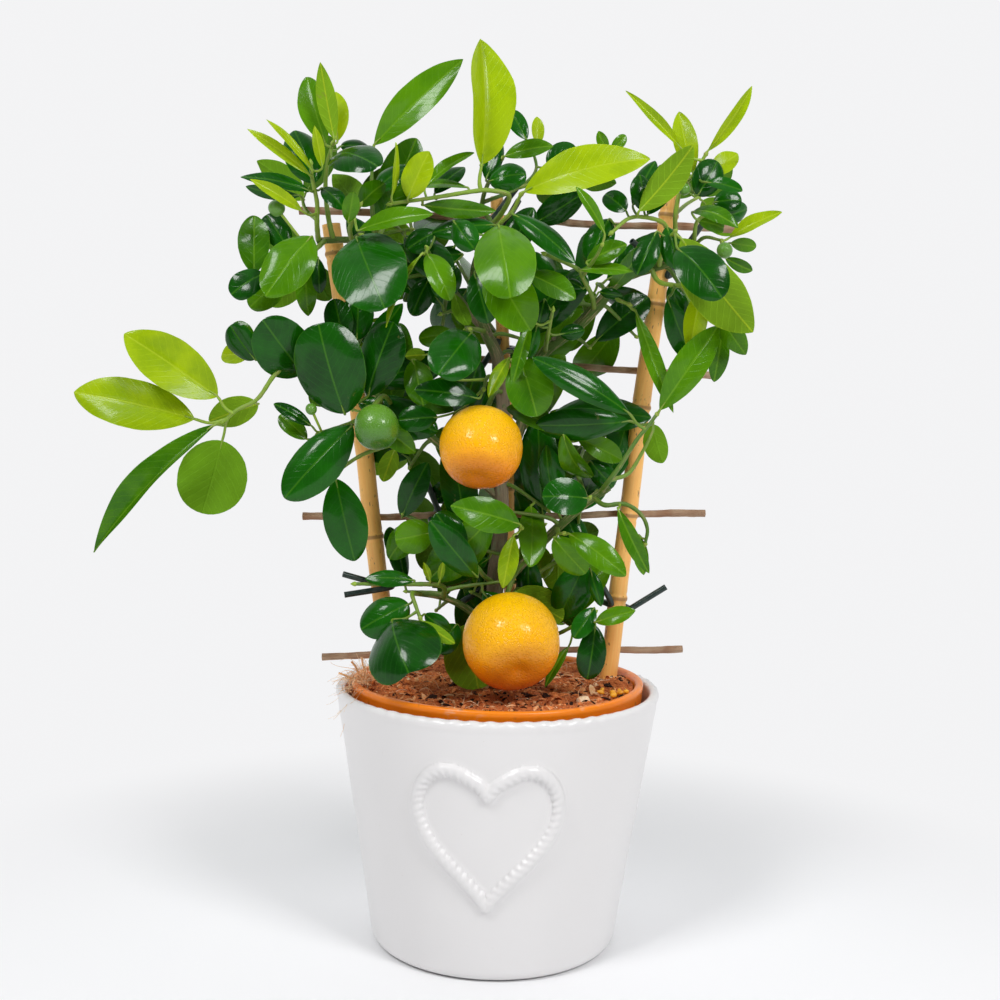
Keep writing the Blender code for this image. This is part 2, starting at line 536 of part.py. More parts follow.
# name, start on the wood, twigs and leaves, all in cm.
# A leaf: base x, z, y; tip x, z, y; width; roll, fold (degrees); arch; age.
SHOOTS = [
    ("shoot_top_left", (-11.4, 44.9, -1.8),
     [[(-11.5, 46.0, -2.9), (-11.5, 47.2, -3.1), (-11.8, 48.6, -3.3), (-11.9, 49.5, -3.4)],
      [(-11.5, 46.2, -3.0), (-12.2, 46.8, -0.8), (-12.4, 47.4, 2.4)]],
     [(-11.9, 48.8, -3.6, -15.7, 51.7, -4.2, 0.95, 20, 22, 0.05, "L"),
      (-11.8, 49.1, -4.0, -14.5, 52.2, -4.8, 0.85, 40, 35, 0.04, "L"),
      (-11.2, 49.3, -4.4, -11.7, 51.8, -5.0, 0.80, 15, 25, 0.03, "L"),
      (-12.4, 46.7, -4.4, -15.5, 48.6, -6.2, 1.00, 20, 20, 0.05, "L"),
      (-11.9, 47.9, -3.5, -16.1, 48.9, -4.4, 1.25, 35, 10, 0.06, "D"),
      (-12.5, 47.6, -2.4, -15.9, 48.0, -2.4, 0.95, -30, 12, 0.06, "D"),
      (-11.7, 48.4, -2.0, -12.9, 51.6, -0.9, 2.60, 15, 10, 0.08, "D"),
      (-11.2, 48.1, -2.4, -9.9, 47.0, -3.6, 1.30, -20, 10, 0.10, "D"),
      (-12.3, 47.4, 2.4, -15.0, 49.6, 4.0, 2.00, 160, 12, 0.10, "M"),
      (-12.2, 47.8, 2.6, -10.8, 50.4, 5.0, 2.10, 200, 12, 0.10, "D")], []),
    ("shoot_top_left_tall", (-10.5, 45.0, -1.6),
     [[(-10.8, 46.3, -2.0), (-11.0, 48.0, -1.6), (-10.9, 49.6, -2.6), (-10.6, 50.7, -3.3)]],
     [(-11.0, 50.7, -3.2, -12.2, 54.7, -2.6, 2.00, -10, 12, 0.06, "L"),
      (-10.5, 51.0, -4.0, -11.4, 55.5, -4.4, 1.45, 190, 22, 0.05, "L"),
      (-10.3, 50.9, -3.1, -10.4, 53.9, -2.4, 1.60, 10, 15, 0.05, "L"),
      (-10.1, 50.6, -2.2, -8.1, 50.4, -1.4, 1.60, -35, 12, 0.12, "D"),
      (-10.7, 49.8, -4.2, -8.0, 49.7, -7.4, 2.70, -40, 8, 0.14, "D")], []),
    ("shoot_top_left_low", (-9.4, 45.05, -1.4),
     [[(-9.5, 45.7, -2.8), (-9.3, 46.4, -3.6), (-8.9, 47.1, -3.9)],
      [(-9.4, 45.7, -2.8), (-9.2, 46.6, -0.6), (-9.0, 47.0, 2.6)]],
     [(-9.6, 46.1, -4.3, -9.3, 47.9, -5.2, 1.15, 10, 15, 0.04, "M"),
      (-8.9, 47.1, -3.8, -7.5, 48.5, -4.2, 1.50, -15, 12, 0.08, "M"),
      (-9.0, 45.6, -4.8, -4.6, 46.8, -6.4, 1.50, -25, 18, 0.06, "M"),
      (-8.9, 47.2, 2.8, -6.6, 49.2, 4.6, 2.20, 190, 10, 0.10, "D"),
      (-9.2, 47.2, 3.0, -10.4, 48.8, 6.2, 2.20, 170, 10, 0.10, "M")], []),
    ("shoot_big_upright", (-7.9, 44.75, -1.1),
     [[(-8.1, 46.2, -1.9), (-8.2, 48.0, -2.4), (-8.2, 49.8, -2.7)]],
     [(-8.1, 50.7, -2.8, -2.9, 56.0, -3.8, 2.50, -8, 14, 0.04, "M"),
      (-8.0, 48.0, -1.7, -6.0, 49.6, -0.8, 1.70, -20, 12, 0.08, "D")], []),
    ("shoot_long_stem", (-1.0, 46.0, -1.0),
     [[(-0.2, 47.0, -2.6), (0.1, 47.9, -3.5), (-1.0, 48.15, -3.9), (-1.95, 48.1, -4.0),
       (-4.5, 47.65, -4.3), (-7.0, 47.25, -4.5)],
      [(-1.6, 48.15, -4.0), (-1.7, 48.7, -4.1), (-1.6, 49.6, -4.2)]],
     [(-1.6, 49.7, -4.2, -1.4, 57.2, -4.6, 4.40, 36, 36, 0.04, "L"),
      (-7.0, 47.6, -4.8, -6.7, 50.9, -5.2, 0.80, 62, 20, 0.03, "L"),
      (-6.0, 47.6, -4.8, -4.8, 50.4, -5.8, 2.00, -10, 16, 0.04, "L"),
      (-5.0, 48.2, -3.6, -2.1, 50.6, -2.6, 1.05, -30, 25, 0.08, "M"),
      (-5.1, 47.2, -3.6, -0.7, 46.9, -4.0, 1.25, 15, 12, 0.10, "M"),
      (-2.4, 48.3, -2.9, -5.6, 48.3, -2.4, 0.95, 45, 10, 0.08, "M"),
      (-4.4, 47.9, -2.4, -2.6, 49.6, -1.2, 1.30, -20, 10, 0.08, "D")], []),
    ("shoot_top_middle", (-0.9, 46.2, -1.0),
     [[(-1.5, 47.2, -0.4), (-1.2, 48.5, -1.2), (-0.4, 50.0, -1.2)],
      [(-1.4, 47.4, -0.5), (0.6, 48.3, 0.2), (1.7, 49.4, 0.2), (1.4, 50.8, 0.0)],
      [(0.7, 48.35, 0.2), (3.3, 49.2, 0.4), (5.7, 50.2, 0.2), (6.1, 50.5, 0.2)]],
     [(-1.3, 48.8, -1.8, -0.5, 51.4, -1.0, 1.50, 15, 12, 0.06, "D"),
      (-1.1, 48.7, -2.2, 1.1, 49.2, -2.6, 1.90, -15, 10, 0.12, "D"),
      (-0.2, 50.2, -1.6, 2.7, 50.9, -2.2, 1.40, -20, 14, 0.08, "M"),
      (1.1, 51.2, 0.0, 0.0, 53.0, 0.4, 1.30, 15, 12, 0.06, "D"),
      (1.8, 50.9, -0.1, 1.7, 52.6, 0.2, 0.90, 10, 12, 0.04, "L"),
      (2.4, 49.7, 0.1, 4.1, 50.9, 0.4, 1.80, -10, 10, 0.08, "D"),
      (6.0, 50.6, 0.0, 5.4, 51.8, -0.2, 0.80, -15, 15, 0.04, "M"),
      (6.2, 50.6, 0.3, 7.1, 51.6, 0.4, 0.85, 15, 15, 0.04, "M"),
      (2.0, 49.0, 0.9, 3.4, 47.6, 4.4, 2.30, 190, 10, 0.12, "D"),
      (4.2, 49.4, 0.8, 6.4, 48.8, 3.6, 2.00, 190, 10, 0.10, "D")], []),
    ("shoot_bright_big", (-1.5, 44.9, -0.9),
     [[(-0.7, 45.9, -2.9), (0.3, 46.9, -4.0), (0.8, 47.9, -4.9)]],
     [(1.0, 48.1, -5.2, 8.5, 50.5, -6.4, 3.00, -18, 14, 0.10, "L"),
      (0.3, 46.8, -4.6, 4.2, 44.1, -6.4, 1.60, -20, 14, 0.08, "D"),
      (-0.7, 46.1, -3.6, -4.6, 45.6, -3.2, 1.60, 20, 10, 0.08, "D")], []),
    ("shoot_right_top", (9.8, 43.9, -0.9),
     [[(10.2, 45.6, -1.2), (10.2, 47.0, -1.9), (10.5, 48.5, -2.0), (11.2, 49.3, -2.3),
       (11.9, 50.5, -2.7)],
      [(10.2, 47.0, -1.8), (10.9, 47.6, 0.2), (11.6, 48.0, 2.8)]],
     [(10.5, 50.8, -3.0, 7.1, 54.3, -3.8, 0.90, 10, 25, 0.03, "M"),
      (11.2, 49.4, -1.9, 10.2, 53.1, -1.4, 1.60, -10, 12, 0.05, "L"),
      (12.0, 50.7, -2.8, 14.7, 54.6, -3.6, 1.10, 25, 25, 0.05, "M"),
      (12.2, 49.3, -2.2, 13.9, 50.7, -1.6, 1.40, -10, 12, 0.06, "L"),
      (11.5, 48.1, -3.0, 12.7, 50.2, -2.7, 2.00, 10, 10, 0.06, "D"),
      (12.0, 48.9, -3.9, 14.2, 48.5, -4.8, 1.05, -20, 18, 0.08, "D"),
      (11.6, 48.2, 3.0, 13.4, 50.0, 5.0, 2.10, 190, 10, 0.10, "D"),
      (11.8, 47.8, 3.2, 13.8, 46.0, 5.6, 2.20, 190, 10, 0.10, "M"),
      (11.2, 48.1, 3.0, 9.2, 49.6, 5.6, 2.20, 170, 10, 0.10, "D")],
     [(10.7, 48.45, -3.0, 0.38)]),
    ("shoot_right_inner", (10.0, 44.0, -0.95),
     [[(9.9, 45.3, -2.8), (9.5, 46.4, -4.0), (8.2, 46.75, -4.7), (7.3, 46.6, -4.9),
       (6.4, 45.8, -5.1)]],
     [(8.0, 47.1, -5.6, 11.2, 51.0, -6.6, 2.10, 160, 10, 0.05, "L"),
      (8.3, 47.1, -4.2, 8.0, 49.3, -4.0, 1.50, 10, 10, 0.08, "D"),
      (8.5, 46.9, -3.8, 9.9, 48.6, -3.4, 1.10, -15, 12, 0.08, "D"),
      (7.6, 47.4, -3.6, 8.9, 50.2, -2.8, 1.30, -15, 12, 0.08, "D"),
      (7.2, 47.1, -4.2, 5.9, 48.1, -3.8, 1.50, 15, 10, 0.08, "D"),
      (6.2, 46.6, -4.3, 5.0, 44.1, -4.8, 1.90, 10, 10, 0.10, "D")], []),
    ("shoot_right_arch", (10.5, 44.15, -1.0),
     [[(11.3, 44.9, -2.5), (11.5, 46.5, -2.8), (12.3, 47.1, -2.9)],
      [(11.3, 45.0, -2.5), (12.0, 45.6, -3.4), (13.0, 45.45, -3.8)]],
     [(11.2, 47.1, -4.0, 14.0, 46.3, -5.8, 1.20, -25, 10, 0.18, "M"),
      (12.5, 47.7, -3.0, 14.2, 47.9, -3.0, 1.60, -15, 10, 0.08, "D"),
      (13.2, 46.9, -3.0, 15.1, 47.6, -3.2, 1.35, 20, 14, 0.06, "D"),
      (11.6, 46.6, -2.0, 13.2, 46.2, -1.6, 1.40, -15, 10, 0.08, "M"),
      (13.5, 45.6, -3.6, 16.6, 47.3, -4.4, 1.15, -30, 14, 0.06, "L"),
      (13.6, 45.3, -3.0, 15.2, 45.1, -2.8, 0.95, 15, 12, 0.05, "M"),
      (13.3, 44.4, -2.8, 15.0, 43.6, -2.6, 0.90, 20, 15, 0.06, "M")],
     [(13.25, 44.85, -5.0, 0.50)]),
    ("shoot_right_big", (9.3, 43.85, -0.85),
     [[(9.4, 44.5, -2.9), (9.7, 45.3, -4.6), (10.2, 45.9, -5.7)]],
     [(10.6, 45.5, -6.0, 15.1, 39.9, -6.8, 3.60, 165, 8, 0.04, "L"),
      (10.4, 44.9, -7.0, 13.2, 42.1, -8.6, 2.90, -10, 6, 0.12, "D"),
      (9.1, 45.9, -5.4, 8.0, 43.4, -6.4, 1.60, 10, 10, 0.08, "D"),
      (9.7, 46.2, -5.0, 10.5, 43.9, -6.2, 1.70, -5, 10, 0.08, "D")], []),
    ("shoot_right_front", (5.4, 41.15, -0.6),
     [[(5.3, 41.9, -2.3), (4.7, 43.0, -3.9), (4.3, 43.6, -4.4), (2.4, 44.4, -4.2)],
      [(4.7, 43.2, -4.0), (5.4, 44.2, -5.8), (5.8, 45.0, -6.6)]],
     [(5.95, 45.7, -6.9, 4.3, 48.5, -7.8, 0.85, 20, 20, 0.05, "M"),
      (4.9, 44.0, -5.0, 7.3, 45.1, -6.0, 1.40, -15, 14, 0.08, "M"),
      (4.5, 43.5, -4.9, 7.7, 43.6, -6.0, 0.95, -30, 14, 0.05, "M"),
      (5.7, 42.2, -1.9, 7.2, 41.9, -1.9, 0.80, 20, 12, 0.06, "D"),
      (4.7, 42.4, -3.4, 3.8, 42.9, -3.2, 0.70, 15, 12, 0.06, "D")], []),
    ("shoot_right_hanging", (8.8, 43.7, -0.8),
     [[(9.3, 42.9, -2.4), (10.3, 42.7, -3.2), (11.3, 42.6, -3.6), (12.6, 41.9, -3.2)]],
     [(11.8, 42.3, -4.2, 11.3, 38.7, -4.8, 1.60, 0, 16, 0.05, "L"),
      (9.9, 41.9, -3.8, 11.7, 38.0, -5.0, 1.90, 20, 14, 0.06, "D"),
      (13.0, 41.1, -3.4, 14.7, 38.6, -4.2, 1.60, 20, 12, 0.08, "M"),
      (13.3, 40.3, -2.6, 12.9, 36.9, -2.8, 1.35, 0, 12, 0.05, "M"),
      (10.0, 42.7, -2.2, 10.9, 40.7, -2.0, 1.35, 10, 12, 0.08, "D")], []),
    ("shoot_right_narrow", (6.4, 42.3, -0.6),
     [[(6.8, 41.8, -2.4), (7.5, 41.5, -2.9)]],
     [(7.95, 41.1, -3.1, 10.4, 35.0, -4.8, 1.20, 10, 18, 0.04, "M")], []),
    ("shoot_lower_right_tall", (6.1, 29.9, -2.8),
     [[(6.6, 30.7, -4.2), (7.3, 31.7, -4.6), (8.2, 33.2, -4.7), (8.9, 34.1, -4.6), (9.4, 34.8, -4.5)],
      [(6.6, 30.8, -4.2), (7.8, 31.2, -3.6), (8.6, 32.5, -3.4), (9.2, 33.8, -3.2), (9.2, 34.3, -3.0)]],
     [(9.6, 35.1, -4.6, 13.0, 40.3, -5.6, 2.25, -8, 12, 0.04, "M"),
      (7.8, 34.8, -5.0, 1.9, 38.3, -6.4, 2.10, 25, 16, 0.06, "D"),
      (7.8, 34.4, -3.0, 2.0, 34.0, -2.4, 2.20, -10, 10, 0.08, "D"),
      (9.2, 34.2, -2.4, 9.8, 31.9, -2.0, 1.75, 170, 14, 0.08, "M")], []),
    ("shoot_lower_right_curl", (5.3, 29.4, -2.5),
     [[(4.9, 30.4, -1.4), (4.5, 31.6, -1.2), (4.0, 33.0, -1.4), (3.6, 33.9, -1.9)],
      [(4.6, 31.4, -1.2), (5.0, 32.6, 1.2), (5.2, 33.2, 3.4)]],
     [(3.7, 33.6, -3.6, 5.9, 30.4, -5.4, 2.20, 20, 26, 0.16, "M"),
      (4.6, 33.3, -1.4, 7.4, 32.0, -1.0, 1.60, -10, 12, 0.08, "M"),
      (5.4, 31.9, -1.2, 6.9, 30.3, -1.0, 1.60, 0, 10, 0.08, "D"),
      (3.2, 33.7, -3.0, 0.5, 35.1, -4.2, 1.90, 30, 22, 0.10, "M"),
      (5.2, 33.4, 3.6, 7.2, 35.4, 5.6, 2.20, 190, 10, 0.10, "D"),
      (5.0, 33.3, 3.6, 3.0, 34.8, 5.8, 2.40, 170, 10, 0.10, "M"),
      (5.4, 32.8, 3.6, 6.6, 30.4, 5.8, 2.40, 190, 10, 0.12, "D"),
      (4.8, 32.8, 3.6, 3.4, 30.6, 5.6, 2.30, 170, 10, 0.12, "D")], []),
    ("shoot_lower_right_bright", (4.7, 28.8, -2.3),
     [[(5.0, 29.2, -3.9), (5.4, 29.6, -4.5)]],
     [(5.3, 29.6, -4.9, 2.6, 29.7, -6.0, 2.50, 20, 12, 0.08, "D")], []),
    ("shoot_lower_right_arc", (5.7, 29.65, -2.6),
     [[(6.4, 29.2, -4.0), (7.6, 29.3, -4.5), (8.6, 28.7, -4.7), (9.05, 27.8, -4.7), (8.95, 26.9, -4.5)]],
     [(7.2, 29.0, -5.2, 9.2, 25.0, -6.0, 1.20, 15, 16, 0.06, "M"),
      (8.5, 27.4, -4.1, 8.9, 24.9, -4.3, 1.00, 10, 12, 0.04, "M")], []),
    ("shoot_lower_right_under", (3.5, 27.65, -1.8),
     [[(3.6, 27.4, -3.5), (3.9, 27.4, -4.2)]],
     [(4.2, 27.4, -4.6, 7.8, 24.9, -6.2, 1.80, -15, 10, 0.14, "M"),
      (3.3, 27.1, -3.4, 5.3, 24.9, -3.8, 2.00, 10, 10, 0.06, "M")], []),
    ("shoot_low_right", (-0.5, 19.6, 0.0),
     [[(1.2, 20.3, 0.1), (3.4, 21.0, -0.6), (4.9, 21.8, -1.8), (5.9, 22.5, -2.4)],
      [(3.2, 20.95, -0.5), (3.6, 21.4, 2.0), (3.4, 21.8, 4.0)]],
     [(6.0, 21.9, -4.4, 8.4, 22.7, -5.2, 1.20, -20, 14, 0.08, "M"),
      (5.9, 22.8, -3.4, 4.7, 20.9, -4.2, 1.40, 10, 12, 0.08, "D"),
      (6.0, 21.7, -2.9, 5.6, 18.3, -3.6, 2.00, -5, 10, 0.06, "D"),
      (4.4, 20.4, -3.0, 2.9, 17.8, -4.0, 0.75, 30, 15, 0.06, "M"),
      (3.4, 22.0, 4.2, 5.2, 23.2, 6.4, 2.00, 190, 10, 0.10, "M"),
      (3.2, 21.8, 4.2, 1.0, 22.8, 6.4, 2.20, 170, 10, 0.12, "D")], []),
    ("shoot_low_right_up", (-0.4, 22.4, 0.0),
     [[(1.3, 24.0, 0.6), (3.4, 25.6, 0.3), (5.1, 25.9, -0.6)],
      [(3.2, 25.5, 0.3), (3.8, 26.4, 2.6)]],
     [(5.3, 25.6, -1.2, 3.7, 22.1, -1.2, 2.60, 5, 10, 0.06, "D"),
      (5.6, 25.2, -2.6, 6.3, 22.9, -3.2, 0.95, 10, 14, 0.05, "D"),
      (1.0, 23.7, -0.6, 4.0, 22.0, -1.2, 2.60, 170, 8, 0.06, "L"),
      (5.0, 26.3, -1.0, 4.0, 28.6, -0.6, 2.00, 10, 10, 0.08, "D"),
      (3.9, 26.6, 2.8, 6.0, 27.6, 5.0, 2.30, 190, 10, 0.10, "D"),
      (3.6, 26.2, 3.0, 3.6, 23.6, 5.6, 2.40, 180, 10, 0.12, "M")], []),
    ("shoot_low_left", (-4.9, 23.45, -2.4),
     [[(-5.4, 23.5, -4.2), (-5.2, 22.8, -5.0), (-4.9, 22.0, -5.3)]],
     [(-5.6, 22.8, -4.6, -8.6, 21.2, -5.0, 2.60, 20, 8, 0.10, "D"),
      (-6.6, 21.8, -5.6, -5.7, 18.7, -9.4, 4.90, 0, -8, 0.14, "D"),
      (-4.8, 21.8, -5.8, -2.7, 20.3, -6.6, 0.95, 150, 10, 0.04, "L"),
      (-4.6, 22.2, -4.2, -3.0, 21.1, -4.2, 1.20, 10, 10, 0.06, "D")], []),
    ("shoot_low_left_flat", (-3.4, 23.3, -1.8),
     [[(-3.6, 24.0, -3.6), (-5.6, 24.05, -4.2), (-8.9, 24.0, -4.4)]],
     [(-5.3, 24.3, -4.2, -8.3, 24.4, -4.6, 1.20, 30, 10, 0.08, "D"),
      (-4.3, 24.3, -4.2, -4.7, 25.4, -4.4, 0.50, 10, 15, 0.04, "L"),
      (-3.7, 24.3, -4.0, -3.5, 25.5, -4.2, 0.50, -10, 15, 0.04, "L")], []),
    ("shoot_left_lower", (-0.4, 24.2, 0.0),
     [[(-0.9, 24.6, -2.4), (-1.6, 25.4, -3.0), (-3.2, 26.8, -2.4), (-4.6, 27.8, -1.8),
       (-6.0, 28.4, -1.4)],
      [(-3.0, 26.6, -2.3), (-3.4, 27.4, 0.2), (-3.8, 27.8, 4.0)]],
     [(-1.4, 24.6, -4.8, -4.3, 27.9, -6.4, 2.30, 0, 18, 0.08, "D"),
      (-2.2, 26.1, -3.6, -4.0, 28.5, -3.8, 2.10, 5, 10, 0.06, "D"),
      (-4.2, 27.3, -2.6, -6.5, 26.8, -2.8, 2.30, 0, 8, 0.06, "M"),
      (-5.2, 27.9, -1.2, -6.9, 25.6, -1.4, 1.90, 10, 10, 0.06, "M"),
      (-6.1, 28.2, -1.4, -4.6, 31.6, -1.8, 1.90, -10, 10, 0.08, "D"),
      (-3.9, 27.9, 4.2, -6.2, 29.2, 6.2, 2.30, 170, 10, 0.10, "D"),
      (-3.7, 27.9, 4.2, -1.8, 29.6, 6.0, 2.30, 190, 10, 0.10, "M"),
      (-3.8, 27.6, 4.2, -4.6, 25.0, 6.4, 2.40, 175, 10, 0.12, "D")], []),
    ("shoot_left_middle", (-7.4, 35.3, -1.4),
     [[(-8.0, 34.8, -3.2), (-9.2, 34.0, -3.9), (-11.2, 33.3, -4.0)]],
     [(-9.2, 33.8, -4.6, -13.4, 29.3, -6.0, 3.20, 10, 12, 0.06, "D"),
      (-11.7, 33.7, -4.4, -14.0, 35.1, -5.0, 1.00, 30, 12, 0.05, "D"),
      (-12.0, 32.9, -3.6, -13.7, 34.4, -3.4, 1.35, 20, 14, 0.06, "M"),
      (-7.9, 34.1, -3.4, -5.3, 32.2, -3.2, 1.60, -10, 10, 0.06, "M")],
     [(-11.75, 34.75, -5.6, 0.36)]),
    ("shoot_left_low", (-4.6, 33.3, -0.8),
     [[(-6.4, 32.8, -1.6), (-8.6, 32.0, -1.9), (-10.2, 30.9, -2.2)],
      [(-5.0, 33.1, -1.4), (-5.6, 33.0, 1.6), (-5.8, 32.6, 4.2)]],
     [(-10.2, 30.5, -2.6, -9.0, 25.4, -2.8, 2.90, 0, 10, 0.05, "D"),
      (-6.6, 32.4, -1.4, -7.3, 30.4, -1.0, 1.30, 170, 10, 0.05, "L"),
      (-5.8, 32.9, 4.4, -7.8, 34.8, 6.4, 2.40, 170, 10, 0.10, "D"),
      (-5.9, 32.4, 4.4, -8.2, 31.0, 6.6, 2.40, 170, 10, 0.12, "M"),
      (-5.7, 32.4, 4.4, -4.0, 30.6, 6.6, 2.30, 190, 10, 0.12, "D")], []),
    ("shoot_left_spray", (-12.1, 37.35, -2.4),
     [[(-13.0, 37.5, -4.0), (-14.0, 36.8, -4.8), (-15.05, 35.3, -5.0), (-16.3, 34.6, -5.2),
       (-16.95, 34.0, -5.2)]],
     [(-17.5, 35.4, -5.6, -23.2, 39.2, -6.8, 3.40, 15, 14, 0.04, "L"),
      (-18.9, 34.0, -5.4, -26.4, 35.7, -6.0, 3.40, 20, 14, 0.04, "L"),
      (-17.6, 33.7, -6.2, -25.4, 25.8, -7.6, 2.90, 35, 28, 0.05, "M"),
      (-17.2, 32.7, -5.0, -18.4, 28.2, -5.4, 4.40, 175, 6, 0.06, "M"),
      (-15.0, 35.0, -4.2, -18.0, 33.9, -3.8, 2.00, 165, 8, 0.05, "L")], []),
    ("shoot_left_dark", (-9.2, 36.35, -1.7),
     [[(-9.6, 35.9, -3.4), (-9.7, 35.0, -4.4)],
      [(-9.6, 36.0, -3.3), (-9.3, 37.4, -2.8), (-9.3, 38.8, -2.4)],
      [(-9.3, 38.0, -2.6), (-8.6, 39.4, -0.2), (-8.2, 39.4, 3.0), (-8.7, 38.2, 4.4)]],
     [(-9.7, 34.5, -5.4, -11.4, 39.9, -6.9, 4.40, -5, 5, 0.08, "D"),
      (-8.3, 35.6, -4.6, -6.9, 40.1, -5.6, 2.90, -10, 10, 0.06, "D"),
      (-8.5, 37.8, -3.4, -6.3, 41.3, -3.8, 1.50, -10, 14, 0.06, "D"),
      (-9.0, 39.0, -2.6, -8.9, 41.8, -2.4, 2.20, 0, 12, 0.06, "D"),
      (-9.8, 38.9, -2.9, -10.4, 41.5, -2.9, 1.90, 10, 14, 0.05, "D"),
      (-9.5, 37.8, 4.4, -12.0, 39.4, 6.6, 2.60, 170, 10, 0.10, "D"),
      (-9.3, 37.9, 4.4, -7.2, 40.0, 6.4, 2.50, 190, 10, 0.10, "M"),
      (-9.6, 37.2, 4.4, -11.6, 35.2, 6.6, 2.60, 170, 10, 0.12, "D"),
      (-9.3, 37.2, 4.5, -7.2, 35.4, 7.0, 2.50, 190, 10, 0.12, "M")], []),
    ("shoot_left_outer", (-11.2, 37.05, -2.1),
     [[(-11.8, 38.0, -2.8), (-13.4, 38.3, -2.4), (-15.0, 38.0, -2.4)]],
     [(-12.3, 36.9, -3.7, -14.8, 40.5, -4.9, 3.70, 5, 12, 0.06, "D"),
      (-15.2, 37.7, -3.4, -16.8, 39.7, -3.8, 2.30, -20, 24, 0.04, "D"),
      (-15.4, 38.2, -2.4, -16.4, 40.0, -2.2, 1.50, 10, 12, 0.06, "M"),
      (-15.6, 37.9, -1.8, -17.3, 38.0, -1.4, 1.50, 20, 12, 0.05, "L")], []),
    ("shoot_left_upper", (-11.0, 44.95, -1.7),
     [[(-11.6, 44.4, -3.0), (-12.6, 43.6, -3.2), (-14.2, 42.9, -3.2)],
      [(-12.4, 43.7, -3.1), (-12.6, 44.0, -0.4), (-12.4, 43.6, 3.6)]],
     [(-11.8, 45.2, -4.0, -14.6, 41.7, -6.0, 3.00, 5, 6, 0.08, "M"),
      (-15.3, 42.9, -2.6, -15.3, 46.4, -2.4, 2.10, 10, 10, 0.05, "M"),
      (-14.7, 42.9, -4.0, -16.7, 41.7, -4.8, 1.90, 15, 8, 0.10, "D"),
      (-13.5, 42.6, -2.6, -15.6, 40.9, -2.8, 2.20, 15, 10, 0.06, "M"),
      (-12.2, 43.3, -2.4, -12.0, 40.4, -2.4, 1.40, 0, 10, 0.05, "M"),
      (-11.4, 43.9, -3.0, -11.3, 41.8, -3.2, 1.00, -5, 12, 0.05, "D"),
      (-13.2, 44.4, -2.2, -14.6, 46.5, -1.8, 1.90, 10, 10, 0.06, "D"),
      (-12.4, 43.8, 3.8, -14.4, 45.6, 5.8, 2.40, 170, 10, 0.10, "D"),
      (-12.6, 43.2, 3.8, -14.2, 41.0, 6.0, 2.40, 170, 10, 0.12, "M"),
      (-12.2, 43.3, 3.8, -10.6, 41.4, 6.0, 2.30, 190, 10, 0.12, "D")],
     [(-13.95, 46.85, -4.6, 0.52)]),
    ("shoot_big_round", (-7.2, 44.6, -1.0),
     [[(-7.8, 44.9, -2.6), (-8.7, 45.3, -3.2)],
      [(-7.8, 45.2, -2.6), (-7.2, 46.1, -0.6), (-6.2, 45.4, 1.8), (-5.8, 44.4, 3.8)]],
     [(-9.1, 45.2, -3.8, -7.4, 41.1, -7.4, 4.80, 0, 4, 0.08, "D"),
      (-5.9, 44.4, 4.0, -7.8, 46.2, 6.2, 2.40, 170, 10, 0.10, "M"),
      (-5.7, 44.4, 4.0, -3.6, 45.8, 6.2, 2.40, 190, 10, 0.10, "D"),
      (-5.8, 43.9, 4.0, -6.8, 41.6, 6.4, 2.50, 175, 10, 0.12, "D"),
      (-5.5, 43.9, 4.1, -3.6, 42.2, 6.6, 2.40, 190, 10, 0.12, "M")], []),
    ("shoot_centre", (-1.75, 43.5, -0.8),
     [[(-1.4, 44.0, -2.9), (-1.0, 44.9, -3.9), (-0.6, 45.8, -4.8)]],
     [(-0.5, 46.1, -5.3, 0.3, 41.9, -8.8, 3.90, 0, -10, 0.12, "M"),
      (-0.9, 43.7, -5.0, 1.5, 39.9, -6.6, 3.20, 5, 12, 0.08, "M"),
      (-1.9, 43.2, -3.9, -1.0, 40.2, -4.6, 1.90, 0, 10, 0.08, "D"),
      (-3.2, 46.3, -4.9, -2.0, 44.7, -6.2, 1.70, 10, 8, 0.08, "D"),
      (1.4, 43.2, -4.6, 4.3, 41.8, -5.0, 1.70, -15, 12, 0.08, "M")], []),
    ("shoot_centre_left", (-3.7, 42.4, -0.6),
     [[(-4.1, 43.2, -2.2), (-4.5, 44.0, -3.2), (-4.8, 44.6, -3.9)]],
     [(-4.8, 44.3, -4.6, -3.3, 41.6, -5.2, 1.90, -20, 20, 0.08, "L"),
      (-5.1, 44.3, -5.2, -7.4, 39.9, -6.6, 1.10, 60, 20, 0.04, "L"),
      (-4.3, 45.6, -3.0, -6.0, 44.6, -3.4, 1.60, 10, 10, 0.08, "D"),
      (-2.6, 44.3, -2.4, -5.6, 44.0, -1.8, 1.50, 10, 8, 0.08, "D"),
      (-3.0, 43.6, -2.8, -4.2, 41.8, -3.2, 1.90, 5, 10, 0.08, "D"),
      (-4.6, 42.9, -1.8, -5.7, 40.6, -2.0, 1.70, 10, 10, 0.06, "D")], []),
    ("shoot_centre_low", (-1.1, 39.7, -0.4),
     [[(-1.8, 39.8, -2.2), (-2.3, 39.9, -3.6), (-2.1, 39.8, -4.6)]],
     [(-2.0, 39.6, -5.0, -3.9, 37.2, -8.0, 3.20, 5, 6, 0.08, "D"),
      (-3.1, 41.9, -3.8, -2.2, 40.0, -4.2, 1.20, 150, 12, 0.06, "L"),
      (-3.0, 39.5, -3.0, -5.8, 39.1, -3.0, 1.80, 10, 8, 0.06, "M"),
      (-4.8, 38.2, -3.4, -6.0, 38.1, -3.2, 0.95, 160, 8, 0.04, "L")], []),
    ("shoot_centre_right", (2.5, 38.5, -0.5),
     [[(2.6, 39.3, -2.3), (2.9, 41.0, -3.0)]],
     [(1.6, 40.3, -4.2, 0.5, 36.4, -5.0, 1.05, 10, 20, 0.06, "M"),
      (2.0, 40.1, -2.9, 1.5, 38.1, -2.8, 0.90, 0, 12, 0.04, "D"),
